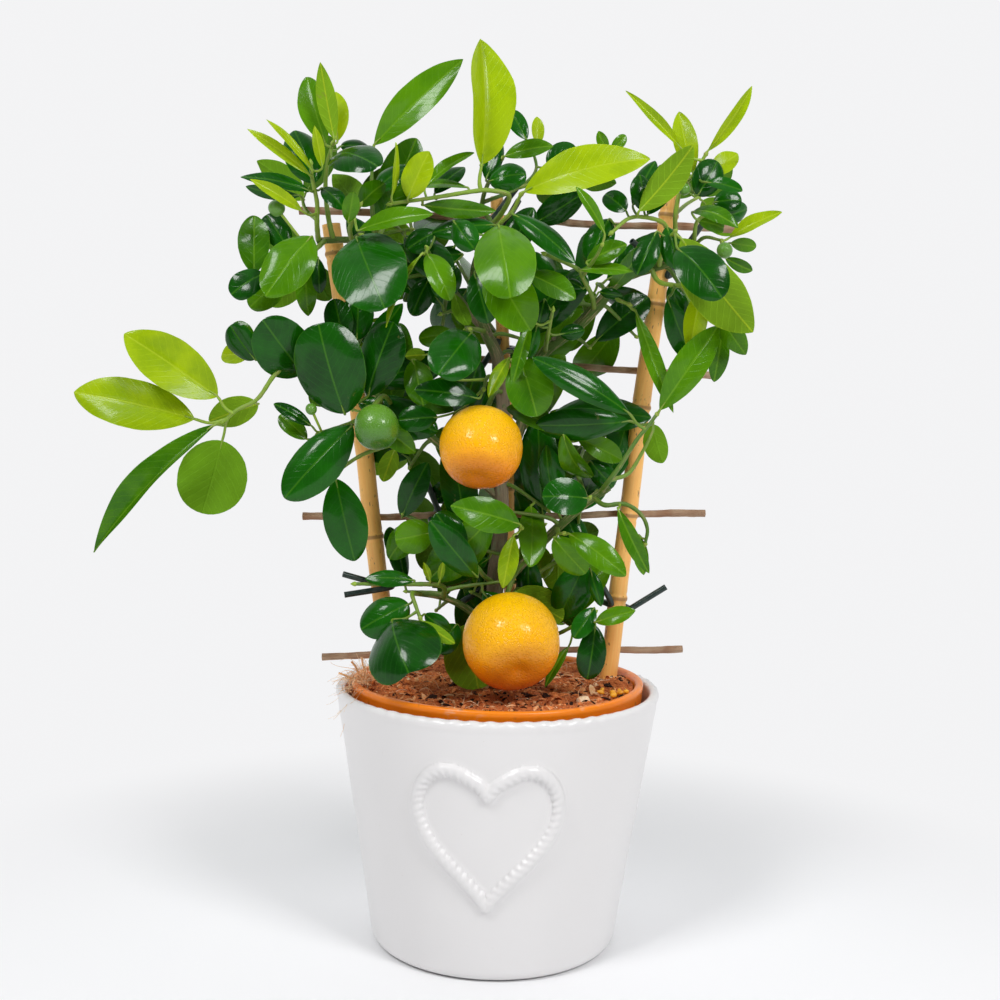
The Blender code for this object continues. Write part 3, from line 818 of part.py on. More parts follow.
      (2.4, 41.7, -3.6, 2.1, 40.3, -3.8, 0.95, 0, 10, 0.06, "D"),
      (3.4, 39.6, -2.4, 4.9, 39.9, -2.2, 1.10, 0, 10, 0.06, "D")], []),
    ("shoot_above_mandarin", (-0.1, 36.6, -0.1),
     [[(-0.7, 36.9, -2.2), (-1.0, 36.9, -3.4), (-1.2, 36.2, -4.4)],
      [(-0.8, 36.9, -2.4), (0.3, 37.9, -3.0)]],
     [(-5.5, 37.9, -3.6, -4.9, 35.1, -4.6, 1.90, 0, 8, 0.08, "M"),
      (-1.5, 35.6, -5.2, -5.4, 36.1, -6.4, 1.75, 20, 8, 0.06, "D"),
      (0.3, 38.1, -3.8, -0.9, 35.7, -5.4, 1.20, 15, 24, 0.06, "L"),
      (1.0, 38.0, -4.2, 1.9, 35.4, -6.6, 3.00, -5, 6, 0.06, "L"),
      (-4.0, 34.4, -4.6, -6.4, 34.2, -4.6, 1.70, 10, 8, 0.08, "D")], []),
    ("shoot_under_mandarin", (0.0, 27.8, 0.0),
     [[(0.9, 27.8, -2.4), (1.3, 27.7, -4.0)],
      [(0.6, 27.8, -1.6), (-1.6, 29.6, 0.4), (-2.2, 31.0, 2.0)]],
     [(1.2, 27.9, -4.8, -3.0, 29.0, -6.8, 2.20, 15, 8, 0.08, "M"),
      (0.8, 27.2, -4.2, 0.2, 23.9, -4.8, 1.40, 0, 16, 0.06, "L"),
      (-2.2, 31.2, 2.2, -3.8, 33.6, 3.6, 2.40, 170, 10, 0.10, "D"),
      (-2.0, 31.2, 2.4, 0.2, 33.0, 4.4, 2.40, 190, 10, 0.10, "M")], []),
    ("shoot_beside_fruit", (-0.6, 19.9, 0.0),
     [[(-1.6, 20.2, -0.4), (-2.2, 21.2, -0.8)]],
     [(-2.0, 21.6, -1.2, -1.2, 17.6, -1.6, 3.80, 175, 6, 0.05, "L"),
      (-2.6, 21.6, -1.6, -3.8, 19.8, -2.6, 1.80, 20, 10, 0.08, "D")], []),
]


def ball(middle, radius, name, look, collection=PLANT, across=12, rings=8, squash=1.0):
    bm = bmesh.new()
    bmesh.ops.create_uvsphere(bm, u_segments=across, v_segments=rings, radius=radius)
    bmesh.ops.scale(bm, verts=bm.verts, vec=(1.0, 1.0, squash))
    bmesh.ops.translate(bm, verts=bm.verts, vec=middle)
    mesh = bpy.data.meshes.new(name)
    bm.to_mesh(mesh)
    bm.free()
    return place(mesh, name, look, collection)


# ---------------------------------------------------------------- big fruit
FRUIT = {
    "mandarin_upper": ((-1.3, 32.6, -5.0), UPPER_FRUIT_RADIUS, 0.95, (-0.4, 36.0, 0.0),
                       (-1.0, 36.3, -2.6), PEEL),
    "mandarin_lower": ((0.8, 20.6, -5.0), LOWER_FRUIT_RADIUS, 0.95, (1.6, 25.7, -1.1),
                       (1.3, 25.3, -3.4), PEEL),
    "mandarin_green": ((-7.75, 33.75, -6.0), GREEN_FRUIT_RADIUS, 1.0, (-6.7, 35.0, -1.2),
                       (-7.4, 35.4, -4.2), GREEN_PEEL),
}
for name, (middle, radius, squash, start, bend, look) in FRUIT.items():
    middle = crown(*middle)
    fruit = ball(middle, radius, name, look, across=16, rings=10, squash=squash)
    note(fruit, name)
    crest = middle + Vector((0, 0, radius * squash))
    bend = crown(*bend)
    line = seat(crown(*start), bend) + [bend, crest + Vector((0, 0, 0.003)),
                                        crest - Vector((0, 0, 0.003))]
    stalk = tube(line, [0.0014] * 5, name + "_stalk", look, CUTTERS, 0)
    note(stalk, name)
    union(fruit, [stalk])

# ---------------------------------------------------------------- plant ties
# A tie hugs a cane or stick and its two ends stand off: (carrier line, radius, place along it,
# first end, second end), ends in cm on the crown's front face.
TIES = {
    "tie_lower_left": ("cane_left", 0.300, (-9.7, 24.6, 0.7), (-9.6, 23.3, 0.8)),
    "tie_lower_right": ("cane_right", 0.245, (6.3, 24.3, 0.6), (10.3, 24.2, 1.2)),
    "tie_top_right": ("cane_right", 0.860, (7.6, 45.3, -0.2), (12.2, 46.9, 0.6)),
    "tie_top_middle": ("cane_middle", 0.950, (0.7, 47.6, 0.2), (0.9, 48.8, 0.8)),
    "tie_near_trunk": ("cane_middle", 0.727, (-1.5, 37.3, 1.0), (1.7, 38.6, 0.9)),
    "tie_centre": ("cross_stick_2", 0.330, (-4.9, 31.2, 1.5), (-3.4, 26.7, 1.6)),
    "tie_lower_centre": ("cane_middle", 0.330, (-2.3, 23.0, 1.0), (-0.6, 25.6, 1.0)),
}
LINES = {**CANE_LINES, **STICK_LINES}
RADII = {**{n: c[1] for n, c in CANES.items()}, **{n: STICK_RADIUS for n in STICKS}}
for name, (carrier, share, first, second) in TIES.items():
    line = LINES[carrier]
    lengths = [(b - a).length for a, b in zip(line, line[1:])]
    reach = sum(lengths) * share
    for (a, b), d in zip(zip(line, line[1:]), lengths):
        if reach <= d:
            middle = a + (b - a) * (reach / d)
            along = (b - a).normalized()
            break
        reach -= d
    hug = (RADII[carrier] + TIE_RADIUS + GAP * 2) / math.cos(math.radians(21.5))
    first, second = crown(*first), crown(*second)
    out = Vector((0, -1, 0))
    out = (out - along * out.dot(along)).normalized()
    sideways = along.cross(out)
    if sideways.x > 0:
        sideways = -sideways
    turns = []
    for k in range(8):
        a = math.radians(-30 - 300 * k / 7)
        lift = along * (TIE_RADIUS * 1.25 * (k / 3.5 - 1))
        turns.append(middle + (sideways * math.sin(a) + out * math.cos(a)) * hug + lift)
    if (turns[0] - first).length + (turns[-1] - second).length > \
            (turns[-1] - first).length + (turns[0] - second).length:
        first, second = second, first
    line = [first] + turns + [second]
    note(tube(line, [TIE_RADIUS] * len(line), name, TIE, resolution=1), name)

# ---------------------------------------------------------------- build the shoots
STEMS = {}
for name, start, twigs, leaves, berries in SHOOTS:
    lines = []
    stems = []
    for i, twig in enumerate(twigs):
        points = [crown(*p) for p in twig]
        if i == 0:
            points = seat(crown(*start), points[0]) + points
        else:
            points[0] = min((nearest(line, points[0]) for line in lines), key=lambda f: f[0])[1]
        n = len(points) - 1
        thick = 0.0016 if i == 0 else 0.0013
        radii = [thick - 0.0006 * k / n for k in range(n + 1)]
        if i == 0:
            main = tube(points, radii, name, LEAF[leaves[0][-1]])
            note(main, name)
        else:
            stems.append(tube(points, radii, f"{name}_twig_{i}", LEAF["M"], CUTTERS))
            note(stems[-1], name)
        lines.append(points)
    roots = []
    for foot in [crown(*row[:3]) for row in leaves + berries]:
        _, root, tangent, _, _ = min((nearest(line, foot) for line in lines), key=lambda f: f[0])
        roots.append(None if (foot - root).length < 0.0012 else root)
        if roots[-1] is not None:
            stalk = tube([root, foot], [0.0010, 0.0010], name + "_stalk", LEAF["M"], CUTTERS)
            note(stalk, name)
            if len(roots) > len(leaves):
                stems.append(stalk)
            else:
                bpy.data.objects.remove(stalk)
    for berry in berries:
        fruit = ball(crown(*berry[:3]), berry[3] * 0.01, name + "_fruitlet", GREEN_PEEL, CUTTERS, 8, 6)
        note(fruit, name)
        stems.append(fruit)
    STEMS[name] = (main, stems, roots)

for name, start, twigs, leaves, berries in SHOOTS:
    main, stems, roots = STEMS[name]
    for k, (bx, bz, by, tx, tz, ty, width, roll, fold, arch, age) in enumerate(leaves):
        base = crown(bx, bz, by)
        tip = crown(tx, tz, ty)
        mesh, stand, bare = settle(base, tip, width * 0.01, roll, fold, arch, name, roots[k])
        if mesh is None:
            continue
        if bare and roots[k] is not None:
            over = (base - roots[k]).normalized() * 0.0012
            stems.append(tube([roots[k], base + over], [0.0009, 0.0009], name + "_stalk",
                              LEAF["M"], CUTTERS))
        mesh.transform(Matrix.Translation(base) @ stand.to_4x4())
        leaf = place(mesh, f"{name}_leaf_{k}", LEAF[age], CUTTERS)
        note(leaf, f"{name}_leaf_{k}")
        stems.append(leaf)
    union(main, stems)
finish_solids()
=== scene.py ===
"""Potted mandarin tree on a bamboo trellis: its looks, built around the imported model.

Metres, +Z up, the front at -Y, the origin at the middle of the pot's foot. The crown is
laid out in centimetres as (across, up, depth) on its front face, as the model is.
"""
import math

import bpy
import numpy as np
from mathutils import Matrix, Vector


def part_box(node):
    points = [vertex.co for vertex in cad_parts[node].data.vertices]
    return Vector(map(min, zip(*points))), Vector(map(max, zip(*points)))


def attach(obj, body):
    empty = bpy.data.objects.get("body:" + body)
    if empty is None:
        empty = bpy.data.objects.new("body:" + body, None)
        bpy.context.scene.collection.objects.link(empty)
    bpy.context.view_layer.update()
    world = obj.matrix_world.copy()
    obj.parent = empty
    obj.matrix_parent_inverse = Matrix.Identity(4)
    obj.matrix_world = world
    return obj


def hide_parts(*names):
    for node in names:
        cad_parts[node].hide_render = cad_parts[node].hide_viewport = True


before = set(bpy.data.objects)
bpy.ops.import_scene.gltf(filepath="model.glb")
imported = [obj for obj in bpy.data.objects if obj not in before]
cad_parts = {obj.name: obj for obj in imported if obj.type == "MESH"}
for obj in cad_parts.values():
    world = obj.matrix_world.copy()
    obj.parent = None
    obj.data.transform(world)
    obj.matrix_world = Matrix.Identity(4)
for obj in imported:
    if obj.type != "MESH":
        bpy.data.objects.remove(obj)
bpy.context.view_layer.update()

# ---------------------------------------------------------------- stage, light and camera
# A pale sweep under a soft sky that is bright behind and dim in front, so that glossy leaves
# stay deep green. Two soft boxes in front give the peel and the leaves paired highlights.
CAMERA_PLACE = (0.0, -0.8668, 0.3593)
CAMERA_LENS = 47.89
CAMERA_DOWN, CAMERA_ROLL, CAMERA_TURN = 0.0799, 0.0198, -0.0009

scene = bpy.context.scene
scene.view_settings.view_transform = "Standard"
BACKDROP = (0.90, 0.90, 0.91)
BLACK = (0.0, 0.0, 0.0)
SKY_FRONT, SKY_BACK, SKY_ABOVE = 0.13, 0.80, 0.42
LAMP_AIM, LAMP_DISTANCE, LAMP_SIZE = (0.0, -0.05, 0.33), 1.5, 0.42
FLOOR_REACH, FLOOR_DROP = 9, 0.0005
sky = bpy.data.worlds.new("studio_sky")
scene.world = sky
sky.use_nodes = True
camera = bpy.data.objects.new("camera", bpy.data.cameras.new("camera"))
camera.data.lens = CAMERA_LENS
camera.data.clip_start = 0.01
camera.location = CAMERA_PLACE
camera.rotation_euler = (Matrix.Rotation(-CAMERA_TURN, 3, "Z")
                         @ Matrix.Rotation(math.pi / 2 - CAMERA_DOWN, 3, "X")
                         @ Matrix.Rotation(CAMERA_ROLL, 3, "Z")).to_euler()
scene.collection.objects.link(camera)
scene.camera = camera


def unit(v):
    """The vector v at length 1."""
    return v / np.linalg.norm(v)


def soft_box(name, towards, watts):
    """A square area lamp that looks at the crown from the given direction."""
    way = unit(np.array(towards))
    side = unit(np.cross((0, 0, 1), way))
    lamp = bpy.data.lights.new(name, "AREA")
    lamp.size = LAMP_SIZE
    lamp.energy = watts
    ob = bpy.data.objects.new(name, lamp)
    ob.location = np.array(LAMP_AIM) + way * LAMP_DISTANCE
    ob.rotation_euler = Matrix(np.column_stack([side, np.cross(way, side), way]).tolist()).to_euler()
    scene.collection.objects.link(ob)


soft_box("soft_box_left", (-0.46, -0.55, 0.67), 10.5)
soft_box("soft_box_right", (0.52, -0.62, 0.52), 11.5)

floor_mesh = bpy.data.meshes.new("floor")
corners = [(x * FLOOR_REACH, y * FLOOR_REACH, -FLOOR_DROP) for x, y in ((-1, -1), (1, -1), (1, 1), (-1, 1))]
floor_mesh.from_pydata(corners, [], [(0, 1, 2, 3)])
floor = bpy.data.objects.new("floor", floor_mesh)
scene.collection.objects.link(floor)


# ---------------------------------------------------------------- finishes and surfaces
# A finish is a shader with wires between its nodes, and a drawn piece is gathered from
# patches of surface. The sweep under the pot fades into the backdrop's own light.
class Wire:
    """One socket of a material's nodes. Sums and products of wires add Math nodes."""

    def __init__(self, tree, socket):
        """Keeps the socket and the node tree it belongs to."""
        self.tree = tree
        self.socket = socket

    def node(self, kind, settings, sockets, out=0):
        """A new shader node: its settings first, then values or links for its sockets."""
        made = self.tree.nodes.new("ShaderNode" + kind)
        for key, value in settings.items():
            setattr(made, key, value)
        for key, value in sockets.items():
            if isinstance(value, Wire):
                self.tree.links.new(value.socket, made.inputs[key])
            else:
                made.inputs[key].default_value = value
        return Wire(self.tree, made.outputs[out])

    def math(self, operation, a, b=0.0, c=0.0):
        """A Math node on up to three wires or values."""
        return self.node("Math", {"operation": operation}, {0: a, 1: b, 2: c})

    def __add__(self, other):
        return self.math("ADD", self, other)

    __radd__ = __add__

    def __mul__(self, other):
        return self.math("MULTIPLY", self, other)

    __rmul__ = __mul__

    def __sub__(self, other):
        return self.math("SUBTRACT", self, other)

    def __rsub__(self, other):
        return self.math("SUBTRACT", other, self)

    def __pow__(self, other):
        return self.math("POWER", self, other)

    def size(self):
        """The wire's value without its sign."""
        return self.math("ABSOLUTE", self)

    def rise(self, low, high):
        """0 below low, 1 above high and smooth between; low above high turns it round."""
        return self.node("MapRange", {"interpolation_type": "SMOOTHSTEP"},
                         {"Value": self, "From Min": low, "From Max": high})

    def noise(self, scale, detail=3.0, rough=0.55):
        """Smooth noise from 0 to 1, with scale cycles a metre."""
        return self.node("TexNoise", {}, {"Vector": self, "Scale": scale, "Detail": detail,
                                          "Roughness": rough})

    def cells(self, scale, feature="F1"):
        """Distance to the nearest of random points, or to the edge between two cells."""
        return self.node("TexVoronoi", {"feature": feature}, {"Vector": self, "Scale": scale})

    def stretch(self, x, y, z):
        """The place scaled along each axis; a pattern on it is longer where this is small."""
        return self.node("Mapping", {}, {"Vector": self, "Scale": (x, y, z)})

    def part(self, axis):
        """One component of a place."""
        return self.node("SeparateXYZ", {}, {"Vector": self}, axis)

    def ramp(self, first, *others):
        """A colour that runs through the stops given as (place, colour)."""
        made = self.node("ValToRGB", {}, {"Fac": self})
        stops = made.socket.node.color_ramp.elements
        stops[0].position = first[0]
        stops[0].color = (*first[1], 1.0)
        stops.remove(stops[1])
        for place, colour in others:
            stops.new(place).color = (*colour, 1.0)
        return made

    def blend(self, a, b):
        """Colour a where this is 0 and colour b where it is 1."""
        a, b = ((*c, 1.0) if isinstance(c, tuple) else c for c in (a, b))
        return self.node("Mix", {"data_type": "RGBA"}, {0: self, 6: a, 7: b}, 2)


class Look:
    """A new material with its shader's fixed values, and wires to its object coordinates,
    UV, grain and tone."""

    def __init__(self, name, **fixed):
        self.material = bpy.data.materials.new(name)
        self.material.use_nodes = True
        self.tree = self.material.node_tree
        self.shader = self.tree.nodes["Principled BSDF"]
        for key, value in fixed.items():
            self.shader.inputs[key.replace("_", " ")].default_value = value
        spot = self.tree.nodes.new("ShaderNodeTexCoord")
        self.here = Wire(self.tree, spot.outputs["Object"])
        self.uv = Wire(self.tree, spot.outputs["UV"])
        self.grain = self.kept("grain", "Vector")
        self.tone = self.kept("tone", "Fac")

    def kept(self, name, out):
        """A wire to an attribute that the mesh keeps."""
        made = self.tree.nodes.new("ShaderNodeAttribute")
        made.attribute_name = name
        return Wire(self.tree, made.outputs[out])

    def feed(self, height=None, strength=0.5, depth=0.001, **wires):
        """Links wires to the shader's sockets, and a height to its normal through a bump."""
        if height is not None:
            wires["Normal"] = height.node("Bump", {}, {"Height": height, "Strength": strength,
                                                       "Distance": depth})
        for key, wire in wires.items():
            self.tree.links.new(wire.socket, self.shader.inputs[key.replace("_", " ")])


def light_sky(world):
    """The sky: plain pale where it is seen, and for the light it gives dim in front, bright
    behind and half bright above."""
    tree = world.node_tree
    way = Wire(tree, tree.nodes.new("ShaderNodeTexCoord").outputs["Generated"])
    seen = Wire(tree, tree.nodes.new("ShaderNodeLightPath").outputs["Is Camera Ray"])
    glow = way.part(1).rise(-0.15, 0.55) * (SKY_BACK - SKY_FRONT) + SKY_FRONT
    glow = glow + way.part(2).rise(0.45, 0.95) * (SKY_ABOVE - SKY_FRONT)
    shade = seen.blend(glow.blend(BLACK, (0.97, 0.985, 1.0)), BACKDROP)
    tree.links.new(shade.socket, tree.nodes["Background"].inputs["Color"])


light_sky(sky)
sweep = Look("pale_sweep", Roughness=0.9, Emission_Strength=1.0, Specular_IOR_Level=0.0)
away = (sweep.here.part(0) ** 2.0 + sweep.here.part(1) ** 2.0).rise(0.015, 0.25)
sweep.feed(Base_Color=away.blend((0.92, 0.92, 0.93), BLACK), Emission_Color=away.blend(BLACK, BACKDROP))
floor_mesh.materials.append(sweep.material)


def rumple(points, size, seed, layers=3):
    """Smooth random heights about 0 and within 1: sines of the given wavelength running in
    random directions, each further layer half as long and half as high."""
    rng = np.random.default_rng(seed)
    total = np.zeros(points.shape[:-1])
    for layer in range(layers):
        for _ in range(5):
            way = rng.normal(size=3)
            way *= 2 * math.pi * 2 ** layer / (size * np.linalg.norm(way))
            total += np.sin(points @ way + rng.uniform(0, 6.3)) / (5 * 2 ** layer) * 1.4
    return total


class Patches:
    """Gathers patches of surface into one piece, with the UV, grain and tone that its
    materials read."""

    def __init__(self):
        """Starts with nothing gathered."""
        self.points, self.faces, self.slots = [], [], []
        self.uvs, self.grains, self.tones = [], [], []
        self.count = 0

    def add(self, points, faces, slot=0, uv=None, grain=None, tone=0.5):
        """One patch: its points, arrays of faces that count from its first point, the slot of
        its finish, and for each point its UV, its grain and its tone."""
        points = np.reshape(points, (-1, 3))
        for f in faces:
            self.faces.append(f.reshape(-1, f.shape[-1]) + self.count)
            self.slots.append(np.full(len(self.faces[-1]), slot))
        self.points.append(points)
        self.uvs.append(np.zeros((len(points), 2)) if uv is None else np.reshape(uv, (-1, 2)))
        self.grains.append(points if grain is None else np.reshape(grain, (-1, 3)))
        self.tones.append(np.broadcast_to(np.ravel(tone), len(points)))
        self.count += len(points)

    def piece(self, name, looks, slot, *nodes, sharp=50):
        """The gathered patches as one object that rides on the model and stands for nodes.
        Edges sharper than the angle given, in degrees, stay sharp."""
        mesh = bpy.data.meshes.new(name)
        mesh.from_pydata(np.concatenate(self.points).tolist(), [],
                         [row for f in self.faces for row in f.tolist()])
        for look in looks:
            mesh.materials.append(look.material)
        mesh.polygons.foreach_set("material_index", np.concatenate(self.slots))
        corner = np.empty(len(mesh.loops), int)
        mesh.loops.foreach_get("vertex_index", corner)
        flat = mesh.uv_layers.new(name="UVMap")
        flat.data.foreach_set("uv", np.concatenate(self.uvs)[corner].ravel())
        grain = mesh.attributes.new("grain", "FLOAT_VECTOR", "POINT")
        grain.data.foreach_set("vector", np.concatenate(self.grains).ravel())
        tone = mesh.attributes.new("tone", "FLOAT", "POINT")
        tone.data.foreach_set("value", np.concatenate(self.tones))
        mesh.shade_smooth()
        mesh.set_sharp_from_angle(angle=math.radians(sharp))
        ob = bpy.data.objects.new(name, mesh)
        scene.collection.objects.link(ob)
        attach(ob, "root")
        if nodes:
            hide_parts(*nodes)
        return ob


def turned(profile, angles, change=None):
    """A closed surface of revolution: each (radius, height) of the profile carried round the
    angles. The profile runs up the outside and starts and ends on the axis; change moves
    the points by row and angle."""
    profile = np.array(profile)
    r = np.repeat(profile[1:-1, :1], len(angles), axis=1)
    z = np.repeat(profile[1:-1, 1:], len(angles), axis=1)
    if change is not None:
        r, z = change(r, z, np.broadcast_to(angles, r.shape))
    points = np.stack([r * np.cos(angles), r * np.sin(angles), z], -1)
    n, m = r.shape
    at = np.arange(n * m).reshape(n, m)
    after = np.roll(at, -1, axis=1)
    quads = np.stack([at[:-1], after[:-1], after[1:], at[1:]], -1)
    first = np.stack([np.full(m, n * m), after[0], at[0]], -1)
    last = np.stack([np.full(m, n * m + 1), at[-1], after[-1]], -1)
    ends = np.array([[0.0, 0.0, profile[0, 1]], [0.0, 0.0, profile[-1, 1]]])
    return np.concatenate([points.reshape(-1, 3), ends]), [quads, first, last]


# ---------------------------------------------------------------- ceramic pot
# A slip-cast tapered pot in white satin glaze. Its lip is pinched into small slanting
# scallops, and a twisted rope in the shape of a heart stands out on the front.
POT_FOOT, POT_RIM, POT_WALL, POT_FLOOR = 0.080, 0.106, 0.0065, 0.008
POT_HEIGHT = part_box("ceramic_pot")[1][2]
FOOT_ROUND = 0.007
HEART_ACROSS, HEART_MIDDLE = -0.0043, 0.094
HEART_WIDTH, HEART_HEIGHT = 0.0843, 0.0867
ROPE_RADIUS = 0.0042
ROPE_TWIST = 0.0049          # length of one strand's lobe along the rope
HEART_FIELD = (0.065, 0.03, 0.155)     # half width, base and top of the part it stands on
FRONT_ARC, FRONT_STEPS, BACK_STEPS = 0.72, 330, 122     # half the finely divided front
LIP_SCALLOPS = 61
LIP_DEPTH = 0.0009


def pot_radius(z):
    """Outer radius at height z: a straight line from the foot's to the rim's."""
    return POT_FOOT + (POT_RIM - POT_FOOT) / POT_HEIGHT * z


def heart_line(count):
    """Closed heart as (x, z): x = sin a to the power 2.3, keeping its sign, and z =
    13 cos a - 5 cos 2a - 2 cos 3a - cos 4a with the notch a little raised, scaled to the
    heart's width and height."""
    a = np.linspace(0, 2 * math.pi, count, endpoint=False)
    x = np.sign(np.sin(a)) * np.abs(np.sin(a)) ** 2.3 / 2
    z = (13 * np.cos(a) - 5 * np.cos(2 * a) - 2 * np.cos(3 * a) - np.cos(4 * a)) / 29 + 0.09
    z += 0.055 * np.exp(-(x / 0.10) ** 2) * (z > 0.1)
    return HEART_ACROSS + x * HEART_WIDTH, HEART_MIDDLE + z * HEART_HEIGHT


def rope_relief(r, z, angles):
    """Height of the rope above the wall: half a circle across the rope, its radius swelling
    and shrinking in slanting lobes along it, with a soft fillet where it meets the wall."""
    hx, hz = heart_line(900)
    reach = pot_radius(hz)
    line = np.stack([reach * np.arcsin(hx / reach), hz], -1)
    step = np.roll(line, -1, axis=0) - line
    along = np.cumsum(np.linalg.norm(step, axis=1))
    lobes = round(along[-1] / ROPE_TWIST)
    high = np.zeros(r.shape)
    unrolled = np.stack([r * (angles + math.pi / 2), z], -1)
    half_width, base, top = HEART_FIELD
    near = (np.abs(unrolled[..., 0]) < half_width) & (z > base) & (z < top)
    spots = unrolled[near]
    gap = spots[:, None] - line
    nearest = np.argmin((gap ** 2).sum(-1), axis=1)
    rows = np.arange(len(spots))
    offset = gap[rows, nearest]
    d = np.linalg.norm(offset, axis=1)
    way = step[nearest] / np.linalg.norm(step[nearest], axis=1)[:, None]
    side = np.sign(way[:, 0] * offset[:, 1] - way[:, 1] * offset[:, 0]) * d
    twist = 2 * math.pi * (along[nearest] / along[-1] * lobes) + 2.4 * side / ROPE_RADIUS
    a = ROPE_RADIUS * (1.0 + (0.045 - 0.035 * np.tanh(side / 0.002)) * np.sin(twist))
    rope = np.sqrt(np.clip(1 - (d / a) ** 2, 0, 1)) * a * 0.92
    fillet = 0.0005 * np.exp(-((d - ROPE_RADIUS) / 0.0016) ** 2)
    high[near] = np.maximum(rope, fillet)
    return high


def shape_pot(r, z, angles):
    """Adds the rope, a soft unevenness, and the lip's scallops: a sine of the angle that
    slants with the radius and is pushed out and up as it nears the rim."""
    outside = np.arange(len(r))[:, None] < outer_rows
    wall = outside & (z > FOOT_ROUND) & (z < POT_HEIGHT - 0.004)
    lip = np.clip((z - (POT_HEIGHT - 0.0060)) / 0.0055, 0, 1) ** 1.5
    wave = np.sin(LIP_SCALLOPS * angles + 260 * (r - POT_RIM)) \
        * (0.65 + 0.35 * np.sin(3 * angles + 1.0) * np.sin(7 * angles))
    soft = rumple(np.stack([r * np.cos(angles), r * np.sin(angles), z], -1), 0.09, 5, 2) * 0.00022
    r = r + np.where(wall, rope_relief(r, z, angles), 0) + np.where(z > FOOT_ROUND, soft, 0)
    return r + lip * wave * LIP_DEPTH * 0.45, z + lip * wave * LIP_DEPTH * 0.55


half = POT_WALL / 2
outer = [(0.0, 0.0), (0.02, 0.0), (pot_radius(FOOT_ROUND) - FOOT_ROUND, 0.0)]
for k in range(1, 7):
    a = math.radians(15 * k)
    outer.append((pot_radius(FOOT_ROUND) - FOOT_ROUND * (1 - math.sin(a)),
                  FOOT_ROUND * (1 - math.cos(a))))
heights = np.concatenate([np.linspace(0.010, 0.038, 8), np.linspace(0.040, 0.148, 120),
                          np.linspace(0.151, POT_HEIGHT - 0.006, 5)])
outer += [(pot_radius(z), z) for z in heights]
outer_rows = len(outer) - 1
for k in range(9):
    a = math.pi * (1 - k / 8)
    outer.append((pot_radius(POT_HEIGHT) - half - half * math.cos(a),
                  POT_HEIGHT - half + half * math.sin(a)))
inner_foot = POT_FOOT - POT_WALL
outer += [(pot_radius(z) - POT_WALL, z) for z in np.linspace(POT_HEIGHT - 0.007, POT_FLOOR + 0.006, 9)]
outer += [(inner_foot - 0.003, POT_FLOOR + 0.0008), (inner_foot - 0.010, POT_FLOOR), (0.0, POT_FLOOR)]
front = np.linspace(-math.pi / 2 - FRONT_ARC, -math.pi / 2 + FRONT_ARC, FRONT_STEPS)
back = np.linspace(-math.pi / 2 + FRONT_ARC, 1.5 * math.pi - FRONT_ARC, BACK_STEPS)[1:-1]
pot = Patches()
pot.add(*turned(outer, np.concatenate([front, back]), shape_pot))

glaze = Look("white_satin_glaze", Coat_Weight=0.15, Coat_Roughness=0.2)
cloud = glaze.here.noise(9.0, 2.0)
specks = glaze.here.noise(820.0, 1.0).rise(0.800, 0.812)
white = cloud.blend((0.80, 0.785, 0.785), (0.84, 0.825, 0.825))
glaze.feed(Base_Color=(specks * 0.5).blend(white, (0.45, 0.36, 0.28)), Roughness=0.25 + cloud * 0.08,
           height=glaze.here.noise(300.0, 2.0), strength=0.06, depth=0.0003)
pot.piece("ceramic_pot_glazed", [glaze], "white_glaze", "ceramic_pot")

# ---------------------------------------------------------------- nursery pot
# A thin moulded pot in bright orange plastic with a rolled lip, standing inside the ceramic
# one. Its rim is scuffed pale here and there, and a little dirt has dried on it.
NURSERY_RIM, NURSERY_FOOT, NURSERY_WALL, NURSERY_LIP = 0.095, 0.068, 0.0014, 0.0034
NURSERY_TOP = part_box("nursery_pot")[1][2]
NURSERY_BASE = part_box("nursery_pot")[0][2]
# The rolled lip's outside: steps out from the rim's radius, and down from its top.
LIP_ROLL = [(-0.0010, 0.0128), (-0.0004, 0.0120), (0.0, 0.0045), (0.0003, 0.0040), (0.0003, 0.0012),
            (-0.0004, 0.0003), (-0.0014, 0.0)]


def nursery_radius(z):
    """Outer radius below the lip: a straight line from the foot's."""
    lean = (NURSERY_RIM - NURSERY_LIP - NURSERY_FOOT) / (NURSERY_TOP - NURSERY_BASE)
    return NURSERY_FOOT + lean * (z - NURSERY_BASE)


profile = [(0.0, NURSERY_BASE), (0.030, NURSERY_BASE), (NURSERY_FOOT - 0.002, NURSERY_BASE),
           (NURSERY_FOOT, NURSERY_BASE + 0.002)]
profile += [(nursery_radius(z), z) for z in np.linspace(0.02, NURSERY_TOP - 0.014, 8)]
profile += [(NURSERY_RIM + out, NURSERY_TOP - down) for out, down in LIP_ROLL]
profile += [(nursery_radius(NURSERY_TOP), NURSERY_TOP - 0.0003),
            (nursery_radius(NURSERY_TOP) - NURSERY_WALL, NURSERY_TOP - 0.0016)]
profile += [(nursery_radius(z) - NURSERY_WALL, z) for z in np.linspace(NURSERY_TOP - 0.006, 0.02, 8)]
profile += [(NURSERY_FOOT - 0.004, NURSERY_BASE + 0.0022), (0.0, NURSERY_BASE + 0.0022)]


def shape_nursery(r, z, angles):
    """Bends the upper part a little out of round and out of level."""
    upper = np.clip((z - 0.12) / 0.05, 0, 1)
    return (r + upper * 0.0006 * np.sin(2 * angles + 0.6),
            z + upper * 0.0005 * np.sin(3 * angles + 2.0))


